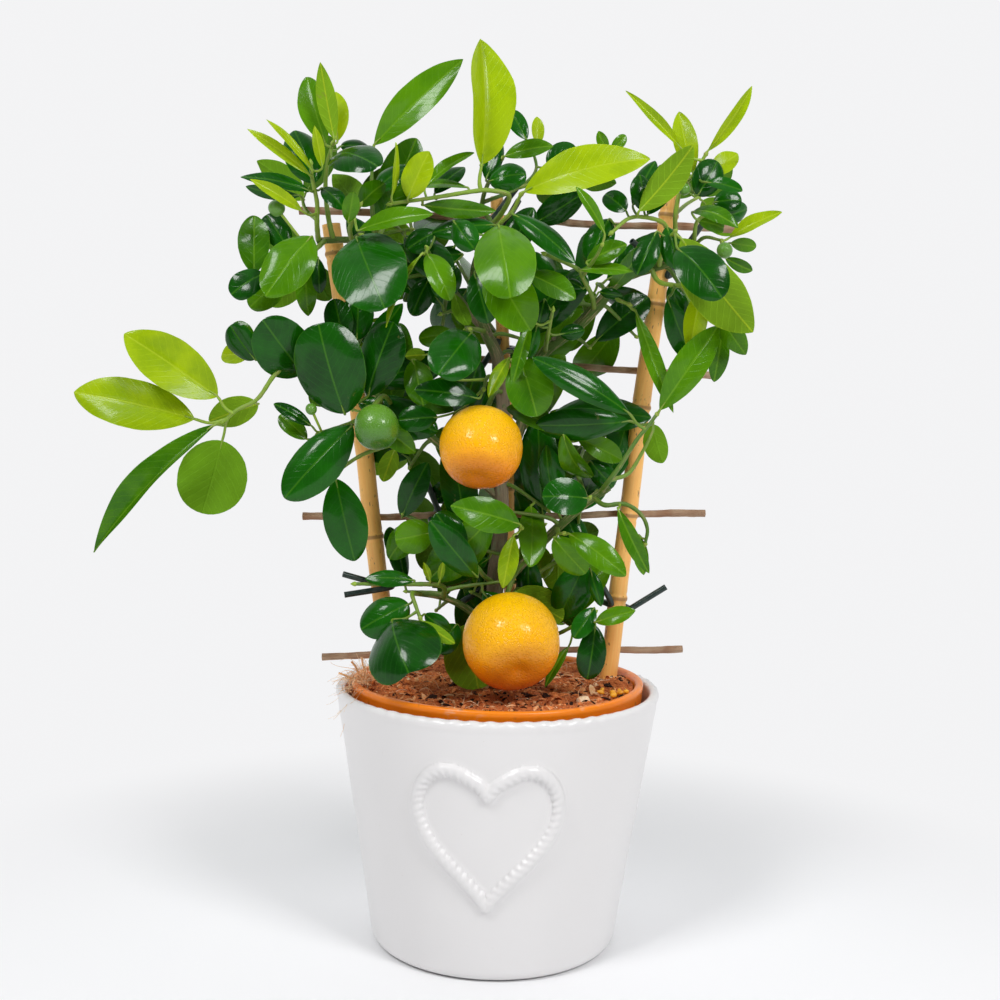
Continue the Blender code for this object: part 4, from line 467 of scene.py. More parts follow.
nursery = Patches()
nursery.add(*turned(profile, np.linspace(0, 2 * math.pi, 160, endpoint=False), shape_nursery))
orange = Look("orange_moulded_plastic", Roughness=0.4, Specular_IOR_Level=0.45)
scuffs = orange.here.noise(38.0, 4.0, 0.65).rise(0.56, 0.66)
rubbed = scuffs * orange.here.stretch(1, 1, 6).noise(160.0, 3.0).rise(0.42, 0.60)
dirt = orange.here.noise(120.0, 4.0).rise(0.60, 0.74)
body = orange.here.noise(25.0).blend((0.90, 0.20, 0.003), (1.0, 0.29, 0.006))
scuffed = (rubbed * 0.55).blend(body, (0.82, 0.55, 0.38))
orange.feed(Base_Color=(dirt * 0.5).blend(scuffed, (0.20, 0.08, 0.03)), Roughness=0.32 + rubbed * 0.3,
            height=orange.here.stretch(1, 1, 8).noise(300.0), strength=0.12, depth=0.0004)
nursery.piece("nursery_pot_moulded", [orange], "orange_plastic", "nursery_pot")

# ---------------------------------------------------------------- growing medium
# Loose coir, dark peat and rust-coloured bark chips, heaped a little towards the rim, with
# pale coir fibres on top and a tuft of them spilling over the left of the rim.
MEDIUM_TOP = NURSERY_TOP - 0.0072
MEDIUM_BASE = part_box("growing_medium")[0][2]
MEDIUM_GAP = 0.0006           # clear of the nursery pot's wall
MEDIUM_EDGE = nursery_radius(MEDIUM_TOP + 0.004) - NURSERY_WALL - MEDIUM_GAP
CHIPS, FIBRES, TUFT_FIBRES, TUFT_CHIPS = 1500, 260, 150, 60
CORK_AT = (0.0540, -0.0470)


def soil_height(x, y):
    """Height of the soil: a shallow dish heaped towards the rim, with lumps on it."""
    r = np.hypot(x, y) / MEDIUM_EDGE
    spots = np.stack([x, y, 0 * x], -1)
    heap = 0.0060 * np.exp(-((x - 0.074) ** 2 + (y + 0.008) ** 2) / 0.016 ** 2) \
        + 0.0040 * np.exp(-((x + 0.070) ** 2 + (y + 0.030) ** 2) / 0.022 ** 2)
    rough = 0.0016 * rumple(spots, 0.030, 3, 3) + 0.0010 * np.abs(rumple(spots, 0.008, 4, 2))
    return MEDIUM_TOP + 0.0040 * r ** 3 + (heap + rough) * np.clip((1.02 - r) * 9, 0, 1)


MEDIUM_RINGS, MEDIUM_RAYS = 52, 200
around = np.linspace(0, 2 * math.pi, MEDIUM_RAYS, endpoint=False)
out = np.linspace(0.0, 1.0, MEDIUM_RINGS + 1)[1:][::-1] * MEDIUM_EDGE
profile = [(0.0, MEDIUM_BASE), (nursery_radius(MEDIUM_BASE) - NURSERY_WALL - MEDIUM_GAP, MEDIUM_BASE)]
profile += [(r, MEDIUM_TOP) for r in out] + [(0.0, MEDIUM_TOP)]


def shape_medium(r, z, angles):
    """Lifts every row but the lowest to the height of the soil."""
    top = np.arange(len(r))[:, None] > 0
    return r, np.where(top, soil_height(r * np.cos(angles), r * np.sin(angles)), z)


medium = Patches()
medium.add(*turned(profile, around, shape_medium), tone=0.35)
rng = np.random.default_rng(11)


def flake(length, width, thick):
    """A curled chip along X: five rings of five corners, narrower at both ends. Its middle
    line sinks by a quarter of the length times the square of the way along."""
    s = np.linspace(-1, 1, 5)[:, None]
    ring = np.array([(1, 0.4), (0, 1), (-1, 0.4), (-1, -0.6), (1, -0.6)])
    z = thick * ring[:, 1] * (1 - 0.5 * s ** 2) - 0.25 * length * s ** 2
    points = np.stack([np.broadcast_to(s * length, (5, 5)), width * (1 - 0.75 * s ** 2) * ring[:, 0], z], -1)
    at = np.arange(25).reshape(5, 5)
    after = np.roll(at, -1, axis=1)
    return points, [np.stack([at[:-1], at[1:], after[1:], after[:-1]], -1), at[:1], at[-1:, ::-1]]


def turn_about(rng, tilt):
    """A random heading about Z, tipped by up to tilt."""
    return np.array(Matrix.Rotation(rng.uniform(0, 6.3), 3, "Z")
                    @ Matrix.Rotation(rng.normal(0, tilt), 3, "X")
                    @ Matrix.Rotation(rng.normal(0, tilt), 3, "Y"))


BORE_LIP = 0.0002             # how far the edge of a bore lies inside the bar's end
BORE_SHARE = 0.62             # the bore's radius as a share of the bar's


def frames(line):
    """Tangents of a line and two directions across it, carried along without twisting."""
    way = np.gradient(line, axis=0)
    way /= np.linalg.norm(way, axis=1)[:, None]
    sides = [unit(np.cross(way[0], (0.0, 0.0, 1.0) if abs(way[0][2]) < 0.9 else (1.0, 0.0, 0.0)))]
    for t in way[1:]:
        sides.append(unit(sides[-1] - t * (t @ sides[-1])))
    sides = np.array(sides)
    return way, sides, np.cross(way, sides)


def length_along(line):
    """How far each point lies along the line from its first point."""
    return np.concatenate([[0.0], np.cumsum(np.linalg.norm(np.diff(line, axis=0), axis=1))])


def bar(line, radii, sides=8, ripple=None, bore=0.0):
    """A closed bar: a circle of the radius at each point of the line, scaled by ripple, with a
    fan on each end, or with each end bored out to the depth given. Its grain is the same
    bar pulled straight."""
    line = np.array(line, float)
    radii = np.broadcast_to(radii, len(line)).astype(float)
    if bore:
        start, end = unit(line[0] - line[1]), unit(line[-1] - line[-2])
        _, a, b = frames(line)
        a, b = (np.concatenate([[v[0]] * 2, v, [v[-1]] * 2]) for v in (a, b))
        line = np.concatenate([[line[0] - start * bore, line[0] - start * BORE_LIP], line,
                               [line[-1] - end * BORE_LIP, line[-1] - end * bore]])
        radii = np.concatenate([[radii[0] * BORE_SHARE] * 2, radii, [radii[-1] * BORE_SHARE] * 2])
    else:
        _, a, b = frames(line)
    turn = np.linspace(0, 2 * math.pi, sides, endpoint=False)
    r = radii[:, None] * np.ones(sides) if ripple is None else radii[:, None] * ripple(line, turn)
    spokes = a[:, None] * np.cos(turn)[:, None] + b[:, None] * np.sin(turn)[:, None]
    points = line[:, None] + r[..., None] * spokes
    run = length_along(line)
    straight = np.stack([r * np.cos(turn), r * np.sin(turn), np.broadcast_to(run[:, None], r.shape)], -1)
    n = len(line)
    at = np.arange(n * sides).reshape(n, sides)
    after = np.roll(at, -1, axis=1)
    faces = [np.stack([at[:-1], after[:-1], after[1:], at[1:]], -1),
             np.stack([np.full(sides, n * sides), after[0], at[0]], -1),
             np.stack([np.full(sides, n * sides + 1), at[-1], after[-1]], -1)]
    points = np.concatenate([points.reshape(-1, 3), line[:1], line[-1:]])
    straight = np.concatenate([straight.reshape(-1, 3), [[0, 0, 0]], [[0, 0, run[-1]]]])
    return points, faces, straight


def soil_spot(inner, outer):
    """A random place on the soil, evenly spread by area between two shares of it."""
    angle, share = rng.uniform(0, 6.283), math.sqrt(rng.uniform(inner, outer))
    return share * MEDIUM_EDGE * math.cos(angle), share * MEDIUM_EDGE * math.sin(angle)


for _ in range(CHIPS):
    x, y = soil_spot(0.0, 0.97)
    size = rng.choice([0.0011, 0.0019, 0.0034], p=[0.55, 0.33, 0.12]) * rng.uniform(0.7, 1.4)
    points, faces = flake(size, size * rng.uniform(0.25, 0.55), size * 0.16)
    points = points @ turn_about(rng, 0.45).T + (x, y, soil_height(x, y) + size * 0.25)
    medium.add(points, faces, tone=rng.choice([0.05, 0.45, 0.62, 0.8], p=[0.25, 0.35, 0.3, 0.1]))


def fibre(start, way, length, bend, thick):
    """A thin hair from start, drooping and curling by bend."""
    s = np.linspace(0, 1, 6)[:, None]
    side = np.cross(way, rng.normal(size=3))
    line = start + way * length * s + side * bend * np.sin(2.2 * s) * length
    line = line - np.array([0, 0, bend]) * length * s ** 2
    return bar(line, thick * np.linspace(1, 0.5, 6), 3)[:2]


def pebble(across, high, sides):
    """A small rounded grain: half an ellipse turned about its upright axis."""
    a = np.linspace(0, math.pi, 7)[1:-1]
    profile = [(0.0, -high)] + [(across * math.sin(v), -high * math.cos(v)) for v in a] + [(0.0, high)]
    return turned(profile, np.linspace(0, 2 * math.pi, sides, endpoint=False))


for _ in range(FIBRES):
    x, y = soil_spot(0.02, 0.95)
    way = rng.normal(size=3) * (1, 1, 0.25)
    way[2] = abs(way[2])
    medium.add(*fibre(np.array([x, y, soil_height(x, y) + 0.0004]), unit(way), rng.uniform(0.005, 0.015),
                      rng.uniform(0.1, 0.45), rng.uniform(0.00012, 0.00028)),
               tone=rng.choice([0.7, 0.95], p=[0.6, 0.4]))
TUFT = np.array([-0.086, -0.016, NURSERY_TOP + 0.001])
for _ in range(TUFT_FIBRES):
    start = TUFT + rng.normal(size=3) * (0.005, 0.013, 0.002)
    way = rng.normal(size=3) * 0.6 + (-0.9, -0.1, 0.5)
    medium.add(*fibre(start, unit(way), rng.uniform(0.006, 0.020), rng.uniform(0.1, 0.7),
                      rng.uniform(0.00012, 0.00026)), tone=rng.uniform(0.75, 1.0))
for dx, dz, dy in ((-0.55, 0.85, -0.1), (-0.9, 0.35, 0.1), (-0.2, 0.9, 0.2)):
    way = np.array([dx, dy, dz])
    reach = np.linspace(0, 1, 5)[:, None] * way * rng.uniform(0.018, 0.024)
    line = TUFT + (0.002, -0.004, -0.004) + reach
    medium.add(*bar(line + rng.normal(size=(5, 3)) * 0.0005, 0.0007, 6)[:2], tone=0.75)
for _ in range(TUFT_CHIPS):
    start = TUFT + (0.004, 0, -0.003) + rng.normal(size=3) * (0.005, 0.012, 0.002)
    size = rng.uniform(0.0012, 0.0030)
    points, faces = flake(size, size * 0.4, size * 0.2)
    medium.add(points @ turn_about(rng, 0.9).T + start, faces, tone=rng.choice([0.45, 0.62, 0.8]))
points, faces = pebble(0.0034, 0.0030, 8)
points = points * (1.4, 1.0, 0.9) + rumple(points, 0.004, 8)[:, None] * 0.0009
medium.add(points + (*CORK_AT, soil_height(*CORK_AT) + 0.0022), faces, tone=0.98)

coir = Look("coir_peat_and_bark", Roughness=0.92, Specular_IOR_Level=0.2)
speckle = coir.here.noise(700.0, 4.0, 0.7)
shade = coir.tone + (speckle - 0.5) * 0.9 + (coir.here.noise(55.0, 3.0) - 0.5) * 0.55
coir.feed(Base_Color=shade.ramp((0.0, (0.016, 0.009, 0.006)), (0.14, (0.075, 0.026, 0.012)),
                                (0.28, (0.42, 0.100, 0.026)), (0.52, (0.78, 0.255, 0.075)),
                                (0.78, (0.86, 0.52, 0.26)), (1.0, (0.92, 0.74, 0.52))),
          height=speckle, strength=0.6, depth=0.0008)
medium.piece("growing_medium_coir", [coir], "coir_and_bark", "growing_medium", sharp=35)

# ---------------------------------------------------------------- fertiliser granules
# A small heap of coated slow-release grains, amber yellow, lying near the rim on the right.
low, high = (np.array(v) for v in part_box("fertiliser_granules"))
HEAP = (low + high) / 2
GRANULES = 15
grains = Patches()
for _ in range(GRANULES):
    radius = rng.uniform(0.0012, 0.0019)
    points, faces = pebble(radius, radius, 10)
    points = (points * (rng.uniform(1.0, 1.7), 1.0, 0.85)) @ turn_about(rng, 0.4).T
    x, y = HEAP[:2] + rng.normal(size=2) * (0.0046, 0.0030)
    z = soil_height(x, y) + 0.0022 + rng.uniform(0, 0.0012)
    grains.add(points + (x, y, z), faces, tone=rng.uniform(0, 1))
amber = Look("amber_granule", Roughness=0.45)
amber.feed(Base_Color=amber.tone.blend((0.62, 0.20, 0.010), (0.92, 0.45, 0.02)),
           height=amber.here.noise(900.0), strength=0.3, depth=0.0003)
grains.piece("fertiliser_granules_amber", [amber], "granules", "fertiliser_granules")

# ---------------------------------------------------------------- bamboo canes
# Three thin peeled bamboo canes stand in the soil behind the trunk and lean outwards. Each
# has raised rings at its joints, dark specks and streaks, and an open sawn end.
def smooth(points, steps):
    """A Catmull-Rom run through the rows of points, steps to each span."""
    rows = np.array(points, float)
    rows = np.concatenate([[2 * rows[0] - rows[1]], rows, [2 * rows[-1] - rows[-2]]])
    a, b, c, d = (rows[i:len(rows) - 3 + i, None] for i in range(4))
    t = (np.arange(steps) / steps)[None, :, None]
    run = 0.5 * (2 * b + (c - a) * t + (2 * a - 5 * b + 4 * c - d) * t ** 2
                 + (3 * b - a - 3 * c + d) * t ** 3)
    return np.concatenate([run.reshape(-1, rows.shape[1]), rows[-2:-1]])


def even(line, step):
    """The line again as points an even step apart."""
    line = np.array(line, float)
    run = length_along(line[:, :3])
    at = np.linspace(0, run[-1], max(3, int(run[-1] / step) + 1))
    return np.stack([np.interp(at, run, line[:, k]) for k in range(line.shape[1])], -1)


TRELLIS_DEPTH = 0.020
CANE_FOOT = 0.1285
CANE_SIDES = 20
CANES = {
    "cane_left": ([(-0.0705, 0.160), (-0.082, 0.240), (-0.091, 0.313), (-0.116, 0.468)], 0.0063,
                  (0.205, 0.262, 0.330, 0.401, 0.449)),
    "cane_middle": ([(0.0105, 0.160), (0.004, 0.300), (-0.001, 0.401), (-0.007, 0.488)], 0.0044,
                    (0.215, 0.296, 0.372, 0.452)),
    "cane_right": ([(0.0735, 0.160), (0.077, 0.195), (0.091, 0.344), (0.108, 0.495)], 0.0063,
                   (0.224, 0.280, 0.352, 0.420, 0.478)),
}


def cane_line(name):
    """The cane's middle from its foot in the soil to its sawn end."""
    places = CANES[name][0]
    (x0, z0), (x1, z1) = places[:2]
    foot = (x0 - (x1 - x0) / (z1 - z0) * (z0 - CANE_FOOT), CANE_FOOT)
    return np.array([(x, TRELLIS_DEPTH, z) for x, z in [foot, *places]])


bamboo = Look("peeled_bamboo", Roughness=0.42, Coat_Weight=0.08, Coat_Roughness=0.25)
streak = bamboo.grain.stretch(1, 1, 0.035).noise(900.0, 4.0, 0.65)
blotch = bamboo.grain.stretch(1, 1, 0.3).noise(60.0, 4.0, 0.6)
specks = bamboo.grain.stretch(1, 1, 0.35).noise(520.0, 2.0).rise(0.64, 0.72)
tan = streak.blend((0.96, 0.37, 0.070), (1.0, 0.66, 0.20))
stained = (blotch.rise(0.50, 0.75) * 0.4).blend(tan, (0.55, 0.22, 0.055))
ring = bamboo.tone.rise(0.55, 0.9)
bamboo.feed(Base_Color=(specks * 0.75 + ring * 0.6).blend(stained, (0.13, 0.06, 0.028)),
            Roughness=0.36 + blotch * 0.25, height=streak + blotch * 0.4, strength=0.25, depth=0.0006)
for name, (places, radius, joints) in CANES.items():
    line = even(cane_line(name), 0.0012)
    wander = rumple(line, 0.11, len(name), 1)[:, None] * np.array([0.0005, 0.0, 0.0])
    line = line + wander * np.clip((line[:, 2:] - 0.18) / 0.05, 0, 1)
    near = np.min([np.abs(line[:, 2] - z) for z in joints], axis=0)
    swell = 1 + 0.10 * np.exp(-(near / 0.0016) ** 2) + 0.05 * np.exp(-(near / 0.008) ** 2) \
        - 0.07 * np.exp(-((near - 0.0030) / 0.0009) ** 2)
    cane = Patches()
    points, faces, straight = bar(line, radius * 0.955 * swell, CANE_SIDES, bore=0.010,
                                  ripple=lambda p, t: 1 + 0.012 * np.sin(3 * t + p[:, 2:] * 40))
    rings = np.concatenate([[0, 0], np.exp(-(near / 0.0022) ** 2), [0, 0]])
    cane.add(points, faces, grain=straight + (0, 0, len(name)),
             tone=np.append(np.repeat(rings, CANE_SIDES), (0, 0)))
    cane.piece(name + "_bamboo", [bamboo], "bamboo", name)

# ---------------------------------------------------------------- split cross sticks
# Four split sticks of brown wood, roughly square and a little crooked, lie across the backs
# of the canes.
STICKS = {
    "cross_stick_1": ((-0.120, 0.1785), (0.1255, 0.1885)),
    "cross_stick_2": ((-0.134, 0.2735), (0.138, 0.2815)),
    "cross_stick_3": ((-0.112, 0.3860), (0.1435, 0.3735)),
    "cross_stick_4": ((-0.138, 0.4780), (0.1515, 0.4712)),
}
STICK_DEPTH = 0.0289
STICK_RADIUS = 0.0023

wood = Look("split_brown_wood", Roughness=0.75, Specular_IOR_Level=0.3)
fibres = wood.grain.stretch(1, 1, 0.03).noise(1500.0, 4.0, 0.7)
stain = wood.grain.noise(45.0, 3.0)
wood.feed(Base_Color=stain.rise(0.35, 0.65).blend(fibres.blend((0.17, 0.075, 0.040), (0.46, 0.25, 0.14)),
                                                  fibres.blend((0.30, 0.20, 0.13), (0.66, 0.47, 0.32))),
          height=fibres, strength=0.6, depth=0.0008)


def split_section(line, turn):
    """A rounded square turned slowly along the stick, with torn edges."""
    a = turn + line[:, :1] * 5
    spots = np.stack([line[:, :1] + 0 * a, np.sin(a) * 0.002, np.cos(a) * 0.002], -1)
    square = (np.abs(np.cos(a)) ** 5 + np.abs(np.sin(a)) ** 5) ** 0.2
    return 0.93 / square * (1 + 0.09 * rumple(spots, 0.011, 9, 3))


for name, (a, b) in STICKS.items():
    line = even([(a[0], STICK_DEPTH, a[1]), (b[0], STICK_DEPTH, b[1])], 0.0025)
    bow = rumple(line, 0.09, len(a) + round(a[1] * 100), 2)
    line = line + bow[:, None] * (0, 0, 0.0011)
    stick = Patches()
    points, faces, straight = bar(line, STICK_RADIUS, 12, ripple=split_section)
    stick.add(points, faces, grain=straight + (0, 0, a[1] * 20))
    stick.piece(name + "_split", [wood], "split_stick", name, sharp=40)

# ---------------------------------------------------------------- trunk and branches
# One woody stem with side branches. The trunk's bark is grey-brown with long ridges; the
# younger branches are green with tan corky stripes.
CROWN_FRONT, CROWN_MIDDLE, CROWN_SPREAD = -5.0, 35.93, 0.01224


def crown(x, z, y):
    """A crown place, in cm on the front face and y deep, as a point in metres. The crown
    opens evenly with depth about its middle height."""
    s = 1 + (y - CROWN_FRONT) * CROWN_SPREAD
    return np.array([x * s, y, CROWN_MIDDLE + (z - CROWN_MIDDLE) * s]) * 0.01


# Rows of (across, up, depth, radius) in cm; the first row of a side branch lies in its parent.
BRANCHES = [
    [(-0.7, 12.0, 0.0, 0.62), (-0.6, 18.0, 0.0, 0.60), (-0.3, 23.5, 0.0, 0.56), (0.0, 28.0, 0.0, 0.52),
     (-0.1, 32.0, 0.0, 0.48), (0.0, 35.5, 0.0, 0.45), (-0.4, 38.1, -0.2, 0.42),
     (-1.4, 40.3, -0.4, 0.38), (-1.9, 43.2, -0.8, 0.30), (-0.9, 46.2, -1.0, 0.20)],
    [(0.0, 31.0, 0.0, 0.34), (1.1, 34.0, -0.2, 0.36), (1.4, 36.0, -0.3, 0.36), (2.3, 38.3, -0.5, 0.36),
     (4.35, 40.0, -0.6, 0.37), (5.6, 41.35, -0.6, 0.36), (7.05, 43.05, -0.6, 0.35),
     (9.0, 43.75, -0.8, 0.32), (10.5, 44.15, -1.0, 0.26)],
    [(-1.3, 39.8, -0.4, 0.24), (-3.6, 42.4, -0.6, 0.26), (-6.4, 44.3, -0.9, 0.25),
     (-9.0, 45.0, -1.3, 0.23), (-11.5, 44.95, -1.8, 0.19)],
    [(-0.1, 29.5, 0.0, 0.26), (-2.6, 31.6, -0.5, 0.28), (-5.4, 34.0, -1.0, 0.26),
     (-8.6, 36.1, -1.6, 0.24), (-12.3, 37.4, -2.4, 0.18)],
    [(-0.4, 21.2, 0.0, 0.24), (-2.0, 22.6, -1.0, 0.24), (-3.6, 23.3, -1.9, 0.21),
     (-5.3, 23.5, -2.6, 0.17)],
    [(-0.2, 23.8, 0.0, 0.26), (0.9, 24.9, -0.8, 0.27), (3.0, 27.2, -1.6, 0.27),
     (5.1, 29.2, -2.4, 0.26), (6.6, 30.3, -3.0, 0.24)],
]
BRANCH_LINES = [even(smooth([[*crown(*p[:3]), p[3] * 0.01] for p in row], 8), 0.0025)
                for row in BRANCHES]
# Cut side shoots left short stubs: the branch they are on, and the share of the way along it.
STUBS = [(0, 0.30), (0, 0.46), (0, 0.66), (0, 0.80), (1, 0.5), (1, 0.8), (2, 0.4), (2, 0.75),
         (3, 0.6), (5, 0.5), (0, 0.38)]

bark = Look("citrus_bark", Roughness=0.8, Specular_IOR_Level=0.3)
ridge = bark.grain.stretch(1, 1, 0.10).noise(700.0, 5.0, 0.7)
patch = bark.grain.stretch(1, 1, 0.4).noise(95.0, 4.0, 0.6)
old = ridge.blend((0.075, 0.055, 0.032), (0.36, 0.29, 0.19))
lichen = patch.rise(0.52, 0.68).blend(old, (0.22, 0.25, 0.14))
young = ridge.rise(0.50, 0.66).blend((0.090, 0.165, 0.030), (0.42, 0.33, 0.17))
bark.feed(Base_Color=(bark.tone + (patch - 0.5) * 0.7).rise(0.25, 0.65).blend(lichen, young),
          height=ridge + patch * 0.5, strength=0.7, depth=0.0011)


def bark_section(line, turn):
    """Shallow lengthwise ridges and a few swellings."""
    a = turn + 0 * line[:, :1]
    along = line[:, 2:3] + line[:, :1] * 0.7
    spots = np.stack([np.cos(a) * 0.004, np.sin(a) * 0.004, along * 0.22 + 0 * a], -1)
    knots = rumple(np.stack([along + 0 * a] * 3, -1), 0.05, 4, 2)
    return 1 + 0.07 * rumple(spots, 0.0050, 21, 3) + 0.05 * knots


tree = Patches()
for i, line in enumerate(BRANCH_LINES):
    sides = 22 if i == 0 else 16
    points, faces, straight = bar(line[:, :3], line[:, 3], sides, ripple=bark_section)
    age = np.clip((line[:, 2] - 0.33) / 0.14, 0, 0.75) if i == 0 else np.linspace(0.35, 1.0, len(line))
    tree.add(points, faces, grain=straight + (0, 0, i * 0.7),
             tone=np.append(np.repeat(age, sides), (age[0], age[-1])))
for k, (i, share) in enumerate(STUBS):
    line = BRANCH_LINES[i]
    spot = line[int(share * (len(line) - 1))]
    way = unit(np.array([math.cos(2.4 * k), -abs(math.sin(1.7 * k)) - 0.3, 0.5]))
    stub = spot[:3] + np.outer(np.linspace(0.3, 1.55, 5), way) * spot[3]
    points, faces, straight = bar(stub, spot[3] * np.array([0.55, 0.50, 0.44, 0.36, 0.10]), 8)
    tree.add(points, faces, grain=straight + (0, 0, k), tone=0.3)
tree.piece("trunk_bark", [bark], "bark", "trunk_and_branches")

# ---------------------------------------------------------------- plant ties
# Soft dark plastic tubing hugs a cane or a stick, and its two cut ends stand off towards
# the branches. The tube is hollow.
TIES = {
    "tie_lower_left": ("cane_left", 0.300, (-9.7, 24.6, 0.7), (-9.6, 23.3, 0.8)),
    "tie_lower_right": ("cane_right", 0.245, (6.3, 24.3, 0.6), (10.3, 24.2, 1.2)),
    "tie_top_right": ("cane_right", 0.860, (7.6, 45.3, -0.2), (12.2, 46.9, 0.6)),
    "tie_top_middle": ("cane_middle", 0.950, (0.7, 47.6, 0.2), (0.9, 48.8, 0.8)),
    "tie_near_trunk": ("cane_middle", 0.727, (-1.5, 37.3, 1.0), (1.7, 38.6, 0.9)),
    "tie_centre": ("cross_stick_2", 0.330, (-4.9, 31.2, 1.5), (-3.4, 26.7, 1.6)),
    "tie_lower_centre": ("cane_middle", 0.330, (-2.3, 23.0, 1.0), (-0.6, 25.6, 1.0)),
}
TIE_RADIUS = 0.0021
TIE_GAP = 0.0003

tubing = Look("dark_tie_tubing", Roughness=0.38)
dust = tubing.here.noise(160.0, 4.0, 0.6).rise(0.45, 0.75)
dark = tubing.here.noise(30.0).blend((0.006, 0.014, 0.012), (0.014, 0.045, 0.036))
tubing.feed(Base_Color=(dust * 0.5).blend(dark, (0.10, 0.12, 0.10)), Roughness=0.30 + dust * 0.35,
            height=tubing.grain.stretch(1, 1, 0.1).noise(600.0), strength=0.15, depth=0.0005)
CARRIERS = {**{n: (cane_line(n), CANES[n][1]) for n in CANES},
            **{n: (np.array([(a[0], STICK_DEPTH, a[1]), (b[0], STICK_DEPTH, b[1])]), STICK_RADIUS)
               for n, (a, b) in STICKS.items()}}
for name, (carrier, share, first, second) in TIES.items():
    line, radius = CARRIERS[carrier]
    run = length_along(line)
    i = int(np.searchsorted(run, run[-1] * share)) - 1
    along = (line[i + 1] - line[i]) / (run[i + 1] - run[i])
    middle = line[i] + along * (run[-1] * share - run[i])
    hug = (radius + TIE_RADIUS + TIE_GAP * 2) / math.cos(math.radians(21.5))
    first, second = crown(*first), crown(*second)
    out = unit(np.array([0.0, -1.0, 0.0]) + along * along[1])
    sideways = np.cross(along, out)
    sideways *= -1 if sideways[0] > 0 else 1
    a = np.radians(-30 - 300 * np.arange(8) / 7)[:, None]
    lift = along * TIE_RADIUS * 1.25 * (np.arange(8)[:, None] / 3.5 - 1)
    turns = middle + (sideways * np.sin(a) + out * np.cos(a)) * hug * 0.97 + lift
    if np.linalg.norm(turns[0] - first) + np.linalg.norm(turns[-1] - second) > \
            np.linalg.norm(turns[-1] - first) + np.linalg.norm(turns[0] - second):
        first, second = second, first
    tube = Patches()
    line = even(smooth([first, *turns, second], 8), 0.0009)
    points, faces, straight = bar(line, TIE_RADIUS * 0.96, 14, bore=0.007)
    tube.add(points, faces, grain=straight)
    tube.piece(name + "_tubing", [tubing], "tie_plastic", name, sharp=40)

# ---------------------------------------------------------------- leaves, twigs and fruitlets
# Citrus leaves of three ages: dark glossy old ones, green grown ones and pale young ones.
# Each is a thin closed blade folded a little along its midrib, on a short leaf stalk that
# joins a green twig. Each shoot is one piece and grows out of a branch.
SIZES = (1.0, 0.8, 0.62)      # the sizes that the model tries for a leaf
LEAF_AGES = "DML"
LEAF_SHEET = 0.00045
RIPPLE_STEP, RIPPLE_HEIGHT = 0.0062, 0.00010
VEIN_STEP = 0.0056
BLUNTNESS = {"D": 1.0, "M": 0.8, "L": 0.5}


def outline(u, ratio):
    """Half width at u along the blade, 1 at the widest; broad blades have rounder ends."""
    k = np.clip((ratio - 0.2) / 0.6, 0, 1)
    a, b = 0.95 - 0.45 * k, 1.05 - 0.50 * k
    m = a / (a + b)
    return (u / m) ** a * ((1 - u) / (1 - m)) ** b


def facing(base, tip, roll):
    """The leaf's axes: along it to the tip, to its left, and out of its upper face, which
    looks to the front and is turned by roll about the line from base to tip."""
    along = unit(tip - base)
    ahead = np.array([0.0, -1.0, 0.0]) if abs(along[1]) < 0.93 else np.array([0.0, 0.0, 1.0])
    face = unit(ahead - along * (ahead @ along))
    side = np.cross(along, face)
    a = math.radians(roll)
    face = face * math.cos(a) + side * math.sin(a)
    return np.stack([along, np.cross(face, along), face])


def as_modelled(spots, base, tip, width, roll, fold, arch):
    """The leaf's length, width and axes as they are in the model, found from its vertices:
    the tip lies the blade's length from the base, and a point of its left edge lies at
    known distances from both. A leaf that is not found takes the middle size, as laid out."""
    whole = np.linalg.norm(tip - base)
    off = np.linalg.norm(spots - base, axis=1)
    for size in SIZES:
        length, wide = whole * size, width * size
        u = 0.52 if length > 0.021 else 0.3
        reach = 0.5 * wide * outline(u, wide / length)
        a = reach * math.cos(fold)
        b = arch * length * 4 * u * (1 - u) + reach * math.sin(fold)
        ends = spots[np.abs(off - length) < 6e-6]
        for end in ends[np.argsort(np.linalg.norm(ends - tip, axis=1))]:
            along = (end - base) / length
            from_end = np.linalg.norm(spots - end, axis=1)
            edge = spots[(np.abs(off - math.hypot(length * u, a, b)) < 1e-5)
                         & (np.abs(from_end - math.hypot(length * (1 - u), a, b)) < 1e-5)]
            if len(edge):
                w = edge[0] - base - along * length * u
                left = (a * w - b * np.cross(along, w)) / (a * a + b * b)
                return length, wide, np.stack([along, left, np.cross(along, left)])
    return whole * SIZES[1], width * SIZES[1], facing(base, tip, roll)


def drawn_outline(u, ratio, blunt):
    """The leaf's outline with its end drawn blunter and its widest place further along."""
    k = np.clip((ratio - 0.2) / 0.6, 0, 1)
    a, b = 0.95 - 0.42 * k, (1.05 - 0.50 * k) * (1 - 0.38 * blunt)
    m = a / (a + b)
    return (u / m) ** a * ((1 - u) / (1 - m)) ** b


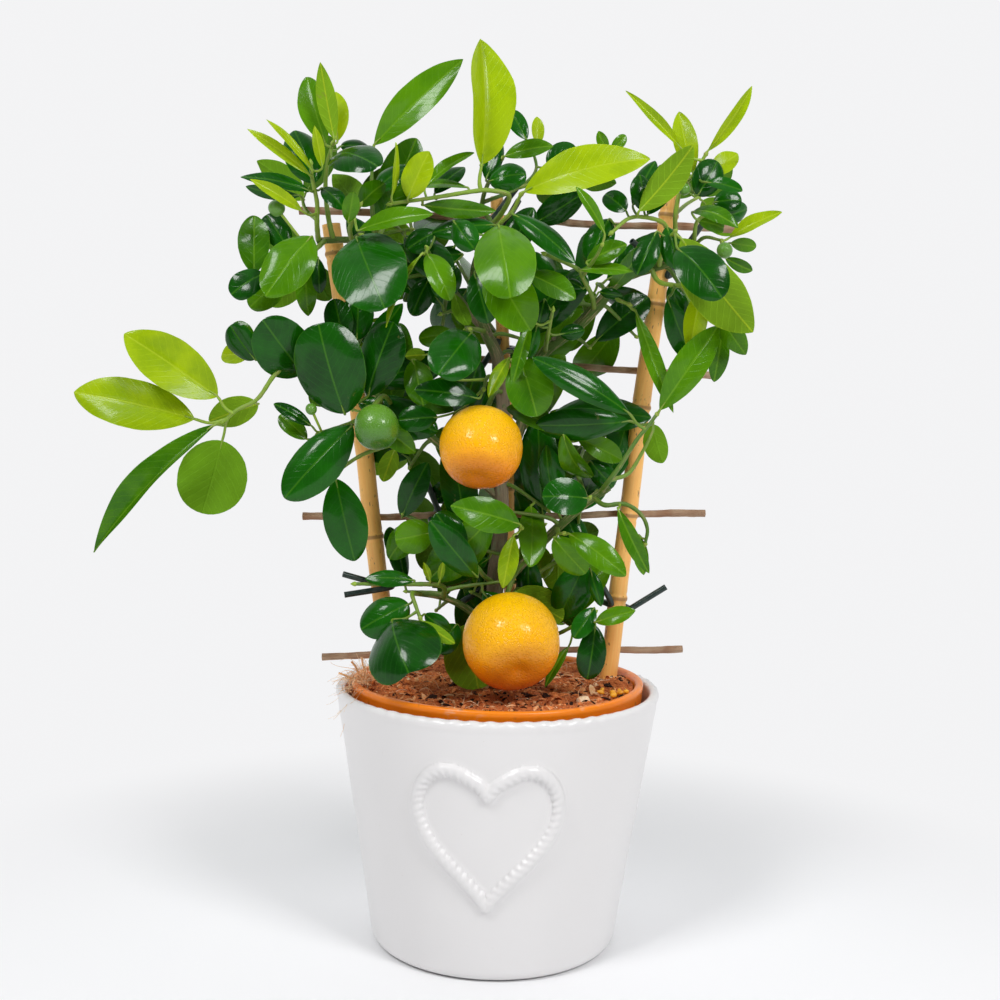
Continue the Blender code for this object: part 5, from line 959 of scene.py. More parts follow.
def blade(length, width, fold, arch, droop, wave, cup, blunt, phase):
    """One leaf lying along +X with its upper face up: points, upper and lower faces, UV and
    the same points pressed flat. The half width follows drawn_outline(). The two halves rise
    from the midrib by the fold and curl back down by the cup towards the margin. The tip
    droops with the square of the way along, and the margin ripples as a sine that grows
    outwards, with a fine ripple between the side veins."""
    nu, nv = 12 + int(190 * length), 10
    u = (0.5 - 0.5 * np.cos(math.pi * np.linspace(0, 1, nu + 1)))[1:-1, None]
    v = np.linspace(-1, 1, nv + 1)[None, :]
    reach = 0.5 * width * drawn_outline(u, width / length, blunt) * np.where(v > 0, 1.0, 0.96)
    reach = reach * (1 + 0.006 * np.sin(2 * math.pi * 5 * u + phase * 3 + np.sign(v)))
    spread = np.sqrt(v ** 2 + 0.012) - math.sqrt(0.012)
    x = length * u + 0 * v
    y = reach * v * math.cos(fold)
    rise = arch * length * 4 * u * (1 - u)
    z = rise + reach * spread * math.sin(fold) - droop * length * u ** 2 * (1 - 0.3 * u)
    z = z - cup * reach * np.abs(v) ** 2.4
    z = z + wave * width * np.sin(2 * math.pi * 1.7 * u + phase + 0.9 * np.sign(v)) * v ** 2 * u ** 0.3
    ripple = np.sin((x - np.abs(y) * 0.9) * 2 * math.pi / RIPPLE_STEP)
    z = z + RIPPLE_HEIGHT * ripple * np.abs(v) * (1 - v ** 2)
    upper = np.stack([x, y, z], -1)
    lower = upper[:, 1:-1] - (0, 0, LEAF_SHEET)
    flat = np.stack([x, reach * v, 0 * x], -1)
    n, m = nu - 1, nv + 1
    top = np.arange(n * m).reshape(n, m)
    under = top.copy()
    under[:, 1:-1] = n * m + np.arange(n * (m - 2)).reshape(n, m - 2)
    root, tip = n * m + n * (m - 2), n * m + n * (m - 2) + 1
    sheets = []
    for at, step in ((top, 1), (under, -1)):
        quads = np.stack([at[:-1, :-1], at[1:, :-1], at[1:, 1:], at[:-1, 1:]], -1)[..., ::step]
        start = np.stack([np.full(nv, root), at[0, :-1], at[0, 1:]], -1)[..., ::step]
        end = np.stack([np.full(nv, tip), at[-1, 1:], at[-1, :-1]], -1)[..., ::step]
        sheets.append([quads, start, end])
    ends = np.array([[0.0, 0.0, -LEAF_SHEET / 2],
                     [length, 0.0, -droop * length * 0.7 - LEAF_SHEET / 2]])
    points = np.concatenate([upper.reshape(-1, 3), lower.reshape(-1, 3), ends])
    way = np.stack([u + 0 * v, 0.5 + 0.5 * v + 0 * u], -1)
    uv = np.concatenate([way.reshape(-1, 2), way[:, 1:-1].reshape(-1, 2), [[0, 0.5], [1, 0.5]]])
    pressed = np.concatenate([flat.reshape(-1, 3), flat[:, 1:-1].reshape(-1, 3), ends * (1, 0, 0)])
    return points, sheets, uv, pressed


def leaf_looks(age, upper, light, under, rough, coat, rib):
    """The finishes of one age of leaf: the upper face with its midrib and side veins let in,
    and the paler matt underside where they stand out."""
    made = []
    for side, dark, pale in (("upper", upper, light), ("under", under, tuple(1.5 * c for c in under))):
        back = side == "under"
        leaf = Look(f"{age}_leaf_{side}", Coat_Roughness=0.10, Coat_Weight=0.0 if back else coat,
                    Specular_IOR_Level=0.08 if back else 0.14)
        across = leaf.grain.part(1).size()
        skew = (leaf.grain.part(0) - across * 0.85 - across * across * 14.0) * (1 / VEIN_STEP)
        wobble = skew + (leaf.here.noise(110.0, 2.0) - 0.5) * 0.5
        vein = wobble.math("PINGPONG", wobble, 0.5).rise(0.10, 0.0)
        net = leaf.grain.cells(620.0, "DISTANCE_TO_EDGE").rise(0.10, 0.0)
        midrib = across.rise(0.00085, 0.00025)
        cloud = leaf.grain.stretch(1, 1, 40).noise(55.0, 3.0)
        body = (cloud.rise(0.30, 0.75) * 0.55 + leaf.tone * 0.75).blend(dark, pale)
        bright = tuple(min(1, 1.5 * c + 0.01) for c in pale)
        veined = (vein * (0.30 if back else 0.16) + net * 0.05).blend(body, bright)
        edge = (leaf.uv.part(1) - 0.5).size().rise(0.478, 0.496)
        ribbed = (midrib * 0.55 + edge * 0.40).blend(veined, rib)
        worn = leaf.here.noise(75.0, 5.0, 0.7).rise(0.68, 0.74) * 0.5
        raised = (vein * 0.45 + midrib * 1.3 + net * 0.10) * (1.0 if back else -1.0) \
            + leaf.grain.stretch(1, 1, 40).noise(110.0, 2.0) * 0.9
        leaf.feed(Base_Color=worn.blend(ribbed, (0.20, 0.17, 0.05)),
                  Roughness=(rough + (0.34 if back else 0)) + cloud * 0.09,
                  height=raised, strength=0.50 if back else 0.28, depth=0.0006)
        made.append(leaf)
    return made


LEAF_LOOKS = leaf_looks("old", (0.0016, 0.034, 0.0006), (0.008, 0.105, 0.0010), (0.045, 0.115, 0.005),
                        0.15, 0.32, (0.05, 0.19, 0.006)) \
    + leaf_looks("grown", (0.020, 0.115, 0.0005), (0.085, 0.240, 0.0010), (0.085, 0.190, 0.005),
                 0.18, 0.22, (0.15, 0.33, 0.012)) \
    + leaf_looks("young", (0.095, 0.215, 0.0010), (0.320, 0.460, 0.0015), (0.13, 0.245, 0.007),
                 0.26, 0.10, (0.40, 0.53, 0.02))
twig_bark = Look("green_twig", Roughness=0.5)
stripes = twig_bark.grain.stretch(1, 1, 0.12).noise(1100.0, 3.0)
green = twig_bark.tone.blend((0.050, 0.14, 0.010), (0.30, 0.46, 0.035))
twig_bark.feed(Base_Color=(stripes.rise(0.5, 0.7) * 0.6).blend(green, (0.30, 0.25, 0.09)),
               height=stripes, strength=0.35, depth=0.0005)
young_peel = Look("green_peel_small", Roughness=0.3, Coat_Weight=0.25)
pores = young_peel.here.cells(1150.0).rise(0.0, 0.5)
young_peel.feed(Base_Color=(pores * 0.4).blend((0.13, 0.30, 0.03), (0.05, 0.19, 0.012)),
                height=pores, strength=0.5, depth=0.0003)
SHOOT_LOOKS = [*LEAF_LOOKS, twig_bark, young_peel]
TWIG, PEEL = 6, 7
AGE_SLOTS = {"D": "old_leaf", "M": "grown_leaf", "L": "young_leaf"}


def closest(lines, spot):
    """The nearest point to the spot on any of the lines."""
    found = []
    for line in lines:
        a, step = line[:-1, :3], np.diff(line[:, :3], axis=0)
        t = np.clip(((spot - a) * step).sum(1) / (step ** 2).sum(1), 0, 1)
        p = a + step * t[:, None]
        d = np.linalg.norm(p - spot, axis=1)
        i = int(np.argmin(d))
        found.append((d[i], p[i]))
    return min(found, key=lambda f: f[0])[1]


def ball(middle, radius, axis, squash, across, rings, dimple=0.0, dimple_width=0.2):
    """A round fruit about an axis: radius times 1 and squash, with a dimple of the depth and
    angular width given at the axis end. It also returns its points about its own axis, before
    they are placed."""
    a = np.linspace(0, math.pi, rings)
    bulge = radius * (1 - 0.035 * np.cos(2 * a) ** 2)
    hollow = 1 - dimple / radius * np.exp(-((math.pi - a) / dimple_width) ** 2) \
        - 0.05 * np.exp(-(a / 0.25) ** 2)
    profile = [(float(b * h * math.sin(t)), float(-b * h * squash * math.cos(t)))
               for b, h, t in zip(bulge[::-1], hollow[::-1], a)]
    profile[0] = (0.0, profile[0][1])
    profile[-1] = (0.0, profile[-1][1])
    points, faces = turned(profile, np.linspace(0, 2 * math.pi, across, endpoint=False))
    up = -unit(np.array(axis))
    side = unit(np.cross((1.0, 0.0, 0.0), up))
    axes = np.stack([np.cross(side, up), side, up])
    return points @ axes + middle, faces, points


TAKEN = []                    # points on the leaves so far, which inner leaves keep clear of


def hang_leaf(shoot, rng, base, length, width, axes, root, fold, arch, age):
    """Adds one leaf to the shoot with its stalk from root. The stalk ends in the midrib."""
    phase, shade = rng.uniform(0, 6.3), rng.uniform(0, 1)
    if age == "L":      # the youngest leaves stand at the outside of the crown
        shade = 0.35 * shade + 0.65 * (abs(base[0]) > 0.115 or base[2] > 0.475)
    droop = rng.uniform(0.02, 0.14)
    wave = rng.uniform(0.015, 0.050) * (0.7 if age == "D" else 1.0)
    cup = rng.uniform(0.10, 0.60) if age == "D" else rng.uniform(-0.05, 0.30)
    blunt = rng.uniform(0.2, 0.9) * BLUNTNESS[age]
    fold = fold * rng.uniform(1.0, 1.6)
    points, sheets, uv, pressed = blade(length, width, fold, arch, droop, wave, cup, blunt, phase)
    k = LEAF_AGES.index(age)
    placed = points @ axes + base
    for j, faces in enumerate(sheets):
        shoot.add(placed, faces, 2 * k + j, uv=uv, grain=pressed + (0, 0, phase), tone=shade)
    TAKEN.append(placed[::7])
    inner = base + axes[0] * min(0.006, length * 0.2) + axes[2] * arch * length * 0.4
    way = base - root
    bow = np.array([0, 0, 0.12]) * np.linalg.norm(way)
    line = smooth([root, root + way * 0.5 - bow, base, inner], 4)
    thick = np.interp(np.linspace(0, 1, len(line)), (0, 0.15, 0.6, 1), (0.00125, 0.00085, 0.00085, 0.00030))
    points, faces, straight = bar(line, thick * (0.7 + 6 * length), 8)
    shoot.add(points, faces, TWIG, grain=straight, tone=0.35 + 0.25 * k)


def add_twig(shoot, line, thick, shade):
    """A twig with a slight swelling at every bend, and a bud at its tip."""
    run = even(smooth(line, 6), 0.0018)
    n = len(run)
    radii = np.linspace(thick, thick * 0.62, n) * (1 + 0.10 * np.sin(np.arange(n) * 0.9) ** 4)
    points, faces, straight = bar(run, radii, 10)
    shoot.add(points, faces, TWIG, grain=straight, tone=shade)
    way = unit(run[-1] - run[-2])
    bud = run[-1] + np.outer(np.array([-0.4, 0.3, 1.1, 2.0]), way) * thick
    points, faces, straight = bar(bud, thick * np.array([0.6, 0.95, 0.7, 0.08]), 8)
    shoot.add(points, faces, TWIG, grain=straight, tone=0.9)


def add_fruitlet(shoot, middle, radius, root, rng):
    """A hard green fruitlet with its star-shaped calyx on a pale stalk."""
    stem = unit(middle - root)
    points, faces, local = ball(middle, radius, stem, 1.0, 22, 15, radius * 0.06, 0.3)
    shoot.add(points, faces, PEEL, grain=local)
    line = [root, middle - stem * (radius + 0.0015), middle - stem * radius * 0.9]
    thick = np.interp(np.linspace(0, 1, 9), (0, 0.7, 1), (0.0008, 0.0009, 0.0021))
    points, faces, straight = bar(smooth(line, 4), thick, 10)
    shoot.add(points, faces, TWIG, grain=straight, tone=1.0)


# name, start on the wood, twigs and leaves, all in cm.
# A leaf: base x, z, y; tip x, z, y; width; roll, fold (degrees); arch; age.
SHOOTS = [
    ("shoot_top_left", (-11.4, 44.9, -1.8),
     [[(-11.5, 46.0, -2.9), (-11.5, 47.2, -3.1), (-11.8, 48.6, -3.3), (-11.9, 49.5, -3.4)],
      [(-11.5, 46.2, -3.0), (-12.2, 46.8, -0.8), (-12.4, 47.4, 2.4)]],
     [(-11.9, 48.8, -3.6, -15.7, 51.7, -4.2, 0.95, 20, 22, 0.05, "L"),
      (-11.8, 49.1, -4.0, -14.5, 52.2, -4.8, 0.85, 40, 35, 0.04, "L"),
      (-11.2, 49.3, -4.4, -11.7, 51.8, -5.0, 0.8, 15, 25, 0.03, "L"),
      (-12.4, 46.7, -4.4, -15.5, 48.6, -6.2, 1.0, 20, 20, 0.05, "L"),
      (-11.9, 47.9, -3.5, -16.1, 48.9, -4.4, 1.25, 35, 10, 0.06, "D"),
      (-12.5, 47.6, -2.4, -15.9, 48.0, -2.4, 0.95, -30, 12, 0.06, "D"),
      (-11.7, 48.4, -2.0, -12.9, 51.6, -0.9, 2.6, 15, 10, 0.08, "D"),
      (-11.2, 48.1, -2.4, -9.9, 47.0, -3.6, 1.3, -20, 10, 0.1, "D"),
      (-12.3, 47.4, 2.4, -15.0, 49.6, 4.0, 2.0, 160, 12, 0.1, "M"),
      (-12.2, 47.8, 2.6, -10.8, 50.4, 5.0, 2.1, 200, 12, 0.1, "D")], []),
    ("shoot_top_left_tall", (-10.5, 45.0, -1.6),
     [[(-10.8, 46.3, -2.0), (-11.0, 48.0, -1.6), (-10.9, 49.6, -2.6), (-10.6, 50.7, -3.3)]],
     [(-11.0, 50.7, -3.2, -12.2, 54.7, -2.6, 2.0, -10, 12, 0.06, "M"),
      (-10.5, 51.0, -4.0, -11.4, 55.5, -4.4, 1.45, 190, 22, 0.05, "L"),
      (-10.3, 50.9, -3.1, -10.4, 53.9, -2.4, 1.6, 10, 15, 0.05, "L"),
      (-10.1, 50.6, -2.2, -8.1, 50.4, -1.4, 1.6, -35, 12, 0.12, "D"),
      (-10.7, 49.8, -4.2, -8.0, 49.7, -7.4, 2.7, -40, 8, 0.14, "D")], []),
    ("shoot_top_left_low", (-9.4, 45.05, -1.4),
     [[(-9.5, 45.7, -2.8), (-9.3, 46.4, -3.6), (-8.9, 47.1, -3.9)],
      [(-9.4, 45.7, -2.8), (-9.2, 46.6, -0.6), (-9.0, 47.0, 2.6)]],
     [(-9.6, 46.1, -4.3, -9.3, 47.9, -5.2, 1.15, 10, 15, 0.04, "M"),
      (-8.9, 47.1, -3.8, -7.5, 48.5, -4.2, 1.5, -15, 12, 0.08, "M"),
      (-9.0, 45.6, -4.8, -4.6, 46.8, -6.4, 1.5, -25, 18, 0.06, "M"),
      (-8.9, 47.2, 2.8, -6.6, 49.2, 4.6, 2.2, 190, 10, 0.1, "D"),
      (-9.2, 47.2, 3.0, -10.4, 48.8, 6.2, 2.2, 170, 10, 0.1, "M")], []),
    ("shoot_big_upright", (-7.9, 44.75, -1.1),
     [[(-8.1, 46.2, -1.9), (-8.2, 48.0, -2.4), (-8.2, 49.8, -2.7)]],
     [(-8.1, 50.7, -2.8, -2.9, 56.0, -3.8, 2.5, -8, 14, 0.04, "M"),
      (-8.0, 48.0, -1.7, -6.0, 49.6, -0.8, 1.7, -20, 12, 0.08, "D")], []),
    ("shoot_long_stem", (-1.0, 46.0, -1.0),
     [[(-0.2, 47.0, -2.6), (0.1, 47.9, -3.5), (-1.0, 48.15, -3.9), (-1.95, 48.1, -4.0),
       (-4.5, 47.65, -4.3), (-7.0, 47.25, -4.5)],
      [(-1.6, 48.15, -4.0), (-1.7, 48.7, -4.1), (-1.6, 49.6, -4.2)]],
     [(-1.6, 49.7, -4.2, -1.4, 57.2, -4.6, 4.4, 36, 36, 0.04, "L"),
      (-7.0, 47.6, -4.8, -6.7, 50.9, -5.2, 0.8, 62, 20, 0.03, "L"),
      (-6.0, 47.6, -4.8, -4.8, 50.4, -5.8, 2.0, -10, 16, 0.04, "L"),
      (-5.0, 48.2, -3.6, -2.1, 50.6, -2.6, 1.05, -30, 25, 0.08, "M"),
      (-5.1, 47.2, -3.6, -0.7, 46.9, -4.0, 1.25, 15, 12, 0.1, "M"),
      (-2.4, 48.3, -2.9, -5.6, 48.3, -2.4, 0.95, 45, 10, 0.08, "M"),
      (-4.4, 47.9, -2.4, -2.6, 49.6, -1.2, 1.3, -20, 10, 0.08, "D")], []),
    ("shoot_top_middle", (-0.9, 46.2, -1.0),
     [[(-1.5, 47.2, -0.4), (-1.2, 48.5, -1.2), (-0.4, 50.0, -1.2)],
      [(-1.4, 47.4, -0.5), (0.6, 48.3, 0.2), (1.7, 49.4, 0.2), (1.4, 50.8, 0.0)],
      [(0.7, 48.35, 0.2), (3.3, 49.2, 0.4), (5.7, 50.2, 0.2), (6.1, 50.5, 0.2)]],
     [(-1.3, 48.8, -1.8, -0.5, 51.4, -1.0, 1.5, 15, 12, 0.06, "D"),
      (-1.1, 48.7, -2.2, 1.1, 49.2, -2.6, 1.9, -15, 10, 0.12, "D"),
      (-0.2, 50.2, -1.6, 2.7, 50.9, -2.2, 1.4, -20, 14, 0.08, "M"),
      (1.1, 51.2, 0.0, 0.0, 53.0, 0.4, 1.3, 15, 12, 0.06, "D"),
      (1.8, 50.9, -0.1, 1.7, 52.6, 0.2, 0.9, 10, 12, 0.04, "L"),
      (2.4, 49.7, 0.1, 4.1, 50.9, 0.4, 1.8, -10, 10, 0.08, "D"),
      (6.0, 50.6, 0.0, 5.4, 51.8, -0.2, 0.8, -15, 15, 0.04, "M"),
      (6.2, 50.6, 0.3, 7.1, 51.6, 0.4, 0.85, 15, 15, 0.04, "M"),
      (2.0, 49.0, 0.9, 3.4, 47.6, 4.4, 2.3, 190, 10, 0.12, "D"),
      (4.2, 49.4, 0.8, 6.4, 48.8, 3.6, 2.0, 190, 10, 0.1, "D")], []),
    ("shoot_bright_big", (-1.5, 44.9, -0.9),
     [[(-0.7, 45.9, -2.9), (0.3, 46.9, -4.0), (0.8, 47.9, -4.9)]],
     [(1.0, 48.1, -5.2, 8.5, 50.5, -6.4, 3.0, -18, 14, 0.1, "L"),
      (0.3, 46.8, -4.6, 4.2, 44.1, -6.4, 1.6, -20, 14, 0.08, "D"),
      (-0.7, 46.1, -3.6, -4.6, 45.6, -3.2, 1.6, 20, 10, 0.08, "D")], []),
    ("shoot_right_top", (9.8, 43.9, -0.9),
     [[(10.2, 45.6, -1.2), (10.2, 47.0, -1.9), (10.5, 48.5, -2.0), (11.2, 49.3, -2.3),
       (11.9, 50.5, -2.7)],
      [(10.2, 47.0, -1.8), (10.9, 47.6, 0.2), (11.6, 48.0, 2.8)]],
     [(10.5, 50.8, -3.0, 7.1, 54.3, -3.8, 0.9, 10, 25, 0.03, "L"),
      (11.2, 49.4, -1.9, 10.2, 53.1, -1.4, 1.6, -10, 12, 0.05, "L"),
      (12.0, 50.7, -2.8, 14.7, 54.6, -3.6, 1.1, 25, 25, 0.05, "L"),
      (12.2, 49.3, -2.2, 13.9, 50.7, -1.6, 1.4, -10, 12, 0.06, "L"),
      (11.5, 48.1, -3.0, 12.7, 50.2, -2.7, 2.0, 10, 10, 0.06, "D"),
      (12.0, 48.9, -3.9, 14.2, 48.5, -4.8, 1.05, -20, 18, 0.08, "D"),
      (11.6, 48.2, 3.0, 13.4, 50.0, 5.0, 2.1, 190, 10, 0.1, "D"),
      (11.8, 47.8, 3.2, 13.8, 46.0, 5.6, 2.2, 190, 10, 0.1, "M"),
      (11.2, 48.1, 3.0, 9.2, 49.6, 5.6, 2.2, 170, 10, 0.1, "D")],
     [(10.7, 48.45, -3.0, 0.38)]),
    ("shoot_right_inner", (10.0, 44.0, -0.95),
     [[(9.9, 45.3, -2.8), (9.5, 46.4, -4.0), (8.2, 46.75, -4.7), (7.3, 46.6, -4.9),
       (6.4, 45.8, -5.1)]],
     [(8.0, 47.1, -5.6, 11.2, 51.0, -6.6, 2.1, 160, 10, 0.05, "L"),
      (8.3, 47.1, -4.2, 8.0, 49.3, -4.0, 1.5, 10, 10, 0.08, "D"),
      (8.5, 46.9, -3.8, 9.9, 48.6, -3.4, 1.1, -15, 12, 0.08, "D"),
      (7.6, 47.4, -3.6, 8.9, 50.2, -2.8, 1.3, -15, 12, 0.08, "D"),
      (7.2, 47.1, -4.2, 5.9, 48.1, -3.8, 1.5, 15, 10, 0.08, "D"),
      (6.2, 46.6, -4.3, 5.0, 44.1, -4.8, 1.9, 10, 10, 0.1, "D")], []),
    ("shoot_right_arch", (10.5, 44.15, -1.0),
     [[(11.3, 44.9, -2.5), (11.5, 46.5, -2.8), (12.3, 47.1, -2.9)],
      [(11.3, 45.0, -2.5), (12.0, 45.6, -3.4), (13.0, 45.45, -3.8)]],
     [(11.2, 47.1, -4.0, 14.0, 46.3, -5.8, 1.2, -25, 10, 0.18, "M"),
      (12.5, 47.7, -3.0, 14.2, 47.9, -3.0, 1.6, -15, 10, 0.08, "D"),
      (13.2, 46.9, -3.0, 15.1, 47.6, -3.2, 1.35, 20, 14, 0.06, "D"),
      (11.6, 46.6, -2.0, 13.2, 46.2, -1.6, 1.4, -15, 10, 0.08, "M"),
      (13.5, 45.6, -3.6, 16.6, 47.3, -4.4, 1.15, -30, 14, 0.06, "L"),
      (13.6, 45.3, -3.0, 15.2, 45.1, -2.8, 0.95, 15, 12, 0.05, "M"),
      (13.3, 44.4, -2.8, 15.0, 43.6, -2.6, 0.9, 20, 15, 0.06, "M")],
     [(13.25, 44.85, -5.0, 0.5)]),
    ("shoot_right_big", (9.3, 43.85, -0.85),
     [[(9.4, 44.5, -2.9), (9.7, 45.3, -4.6), (10.2, 45.9, -5.7)]],
     [(10.6, 45.5, -6.0, 15.1, 39.9, -6.8, 3.6, 165, 8, 0.04, "L"),
      (10.4, 44.9, -7.0, 13.2, 42.1, -8.6, 2.9, -10, 6, 0.12, "D"),
      (9.1, 45.9, -5.4, 8.0, 43.4, -6.4, 1.6, 10, 10, 0.08, "D"),
      (9.7, 46.2, -5.0, 10.5, 43.9, -6.2, 1.7, -5, 10, 0.08, "D")], []),
    ("shoot_right_front", (5.4, 41.15, -0.6),
     [[(5.3, 41.9, -2.3), (4.7, 43.0, -3.9), (4.3, 43.6, -4.4), (2.4, 44.4, -4.2)],
      [(4.7, 43.2, -4.0), (5.4, 44.2, -5.8), (5.8, 45.0, -6.6)]],
     [(5.95, 45.7, -6.9, 4.3, 48.5, -7.8, 0.85, 20, 20, 0.05, "M"),
      (4.9, 44.0, -5.0, 7.3, 45.1, -6.0, 1.4, -15, 14, 0.08, "M"),
      (4.5, 43.5, -4.9, 7.7, 43.6, -6.0, 0.95, -30, 14, 0.05, "M"),
      (5.7, 42.2, -1.9, 7.2, 41.9, -1.9, 0.8, 20, 12, 0.06, "D"),
      (4.7, 42.4, -3.4, 3.8, 42.9, -3.2, 0.7, 15, 12, 0.06, "D")], []),
    ("shoot_right_hanging", (8.8, 43.7, -0.8),
     [[(9.3, 42.9, -2.4), (10.3, 42.7, -3.2), (11.3, 42.6, -3.6), (12.6, 41.9, -3.2)]],
     [(11.8, 42.3, -4.2, 11.3, 38.7, -4.8, 1.6, 0, 16, 0.05, "L"),
      (9.9, 41.9, -3.8, 11.7, 38.0, -5.0, 1.9, 20, 14, 0.06, "D"),
      (13.0, 41.1, -3.4, 14.7, 38.6, -4.2, 1.6, 20, 12, 0.08, "M"),
      (13.3, 40.3, -2.6, 12.9, 36.9, -2.8, 1.35, 0, 12, 0.05, "M"),
      (10.0, 42.7, -2.2, 10.9, 40.7, -2.0, 1.35, 10, 12, 0.08, "D")], []),
    ("shoot_right_narrow", (6.4, 42.3, -0.6),
     [[(6.8, 41.8, -2.4), (7.5, 41.5, -2.9)]],
     [(7.95, 41.1, -3.1, 10.4, 35.0, -4.8, 1.2, 10, 18, 0.04, "M")], []),
    ("shoot_lower_right_tall", (6.1, 29.9, -2.8),
     [[(6.6, 30.7, -4.2), (7.3, 31.7, -4.6), (8.2, 33.2, -4.7), (8.9, 34.1, -4.6), (9.4, 34.8, -4.5)],
      [(6.6, 30.8, -4.2), (7.8, 31.2, -3.6), (8.6, 32.5, -3.4), (9.2, 33.8, -3.2), (9.2, 34.3, -3.0)]],
     [(9.6, 35.1, -4.6, 13.0, 40.3, -5.6, 2.25, -8, 12, 0.04, "M"),
      (7.8, 34.8, -5.0, 1.9, 38.3, -6.4, 2.1, 25, 16, 0.06, "D"),
      (7.8, 34.4, -3.0, 2.0, 34.0, -2.4, 2.2, -10, 10, 0.08, "D"),
      (9.2, 34.2, -2.4, 9.8, 31.9, -2.0, 1.75, 170, 14, 0.08, "M")], []),
    ("shoot_lower_right_curl", (5.3, 29.4, -2.5),
     [[(4.9, 30.4, -1.4), (4.5, 31.6, -1.2), (4.0, 33.0, -1.4), (3.6, 33.9, -1.9)],
      [(4.6, 31.4, -1.2), (5.0, 32.6, 1.2), (5.2, 33.2, 3.4)]],
     [(3.7, 33.6, -3.6, 5.9, 30.4, -5.4, 2.2, 20, 26, 0.16, "M"),
      (4.6, 33.3, -1.4, 7.4, 32.0, -1.0, 1.6, -10, 12, 0.08, "M"),
      (5.4, 31.9, -1.2, 6.9, 30.3, -1.0, 1.6, 0, 10, 0.08, "D"),
      (3.2, 33.7, -3.0, 0.5, 35.1, -4.2, 1.9, 30, 22, 0.1, "M"),
      (5.2, 33.4, 3.6, 7.2, 35.4, 5.6, 2.2, 190, 10, 0.1, "D"),
      (5.0, 33.3, 3.6, 3.0, 34.8, 5.8, 2.4, 170, 10, 0.1, "M"),
      (5.4, 32.8, 3.6, 6.6, 30.4, 5.8, 2.4, 190, 10, 0.12, "D"),
      (4.8, 32.8, 3.6, 3.4, 30.6, 5.6, 2.3, 170, 10, 0.12, "D")], []),
    ("shoot_lower_right_bright", (4.7, 28.8, -2.3),
     [[(5.0, 29.2, -3.9), (5.4, 29.6, -4.5)]],
     [(5.3, 29.6, -4.9, 2.6, 29.7, -6.0, 2.5, 20, 12, 0.08, "D")], []),
    ("shoot_lower_right_arc", (5.7, 29.65, -2.6),
     [[(6.4, 29.2, -4.0), (7.6, 29.3, -4.5), (8.6, 28.7, -4.7), (9.05, 27.8, -4.7), (8.95, 26.9, -4.5)]],
     [(7.2, 29.0, -5.2, 9.2, 25.0, -6.0, 1.2, 15, 16, 0.06, "M"),
      (8.5, 27.4, -4.1, 8.9, 24.9, -4.3, 1.0, 10, 12, 0.04, "M")], []),
    ("shoot_lower_right_under", (3.5, 27.65, -1.8),
     [[(3.6, 27.4, -3.5), (3.9, 27.4, -4.2)]],
     [(4.2, 27.4, -4.6, 7.8, 24.9, -6.2, 1.8, -15, 10, 0.14, "M"),
      (3.3, 27.1, -3.4, 5.3, 24.9, -3.8, 2.0, 10, 10, 0.06, "M")], []),
    ("shoot_low_right", (-0.5, 19.6, 0.0),
     [[(1.2, 20.3, 0.1), (3.4, 21.0, -0.6), (4.9, 21.8, -1.8), (5.9, 22.5, -2.4)],
      [(3.2, 20.95, -0.5), (3.6, 21.4, 2.0), (3.4, 21.8, 4.0)]],
     [(6.0, 21.9, -4.4, 8.4, 22.7, -5.2, 1.2, -20, 14, 0.08, "M"),
      (5.9, 22.8, -3.4, 4.7, 20.9, -4.2, 1.4, 10, 12, 0.08, "D"),
      (6.0, 21.7, -2.9, 5.6, 18.3, -3.6, 2.0, -5, 10, 0.06, "D"),
      (4.4, 20.4, -3.0, 2.9, 17.8, -4.0, 0.75, 30, 15, 0.06, "M"),
      (3.4, 22.0, 4.2, 5.2, 23.2, 6.4, 2.0, 190, 10, 0.1, "M"),
      (3.2, 21.8, 4.2, 1.0, 22.8, 6.4, 2.2, 170, 10, 0.12, "D")], []),
    ("shoot_low_right_up", (-0.4, 22.4, 0.0),
     [[(1.3, 24.0, 0.6), (3.4, 25.6, 0.3), (5.1, 25.9, -0.6)],
      [(3.2, 25.5, 0.3), (3.8, 26.4, 2.6)]],
     [(5.3, 25.6, -1.2, 3.7, 22.1, -1.2, 2.6, 5, 10, 0.06, "D"),
      (5.6, 25.2, -2.6, 6.3, 22.9, -3.2, 0.95, 10, 14, 0.05, "D"),
      (1.0, 23.7, -0.6, 4.0, 22.0, -1.2, 2.6, 170, 8, 0.06, "L"),
      (5.0, 26.3, -1.0, 4.0, 28.6, -0.6, 2.0, 10, 10, 0.08, "D"),
      (3.9, 26.6, 2.8, 6.0, 27.6, 5.0, 2.3, 190, 10, 0.1, "D"),
      (3.6, 26.2, 3.0, 3.6, 23.6, 5.6, 2.4, 180, 10, 0.12, "M")], []),
    ("shoot_low_left", (-4.9, 23.45, -2.4),
     [[(-5.4, 23.5, -4.2), (-5.2, 22.8, -5.0), (-4.9, 22.0, -5.3)]],
     [(-5.6, 22.8, -4.6, -8.6, 21.2, -5.0, 2.6, 20, 8, 0.1, "D"),
      (-6.6, 21.8, -5.6, -5.7, 18.7, -9.4, 4.9, 0, -8, 0.14, "D"),
      (-4.8, 21.8, -5.8, -2.7, 20.3, -6.6, 0.95, 150, 10, 0.04, "L"),
      (-4.6, 22.2, -4.2, -3.0, 21.1, -4.2, 1.2, 10, 10, 0.06, "D")], []),
    ("shoot_low_left_flat", (-3.4, 23.3, -1.8),
     [[(-3.6, 24.0, -3.6), (-5.6, 24.05, -4.2), (-8.9, 24.0, -4.4)]],
     [(-5.3, 24.3, -4.2, -8.3, 24.4, -4.6, 1.2, 30, 10, 0.08, "D"),
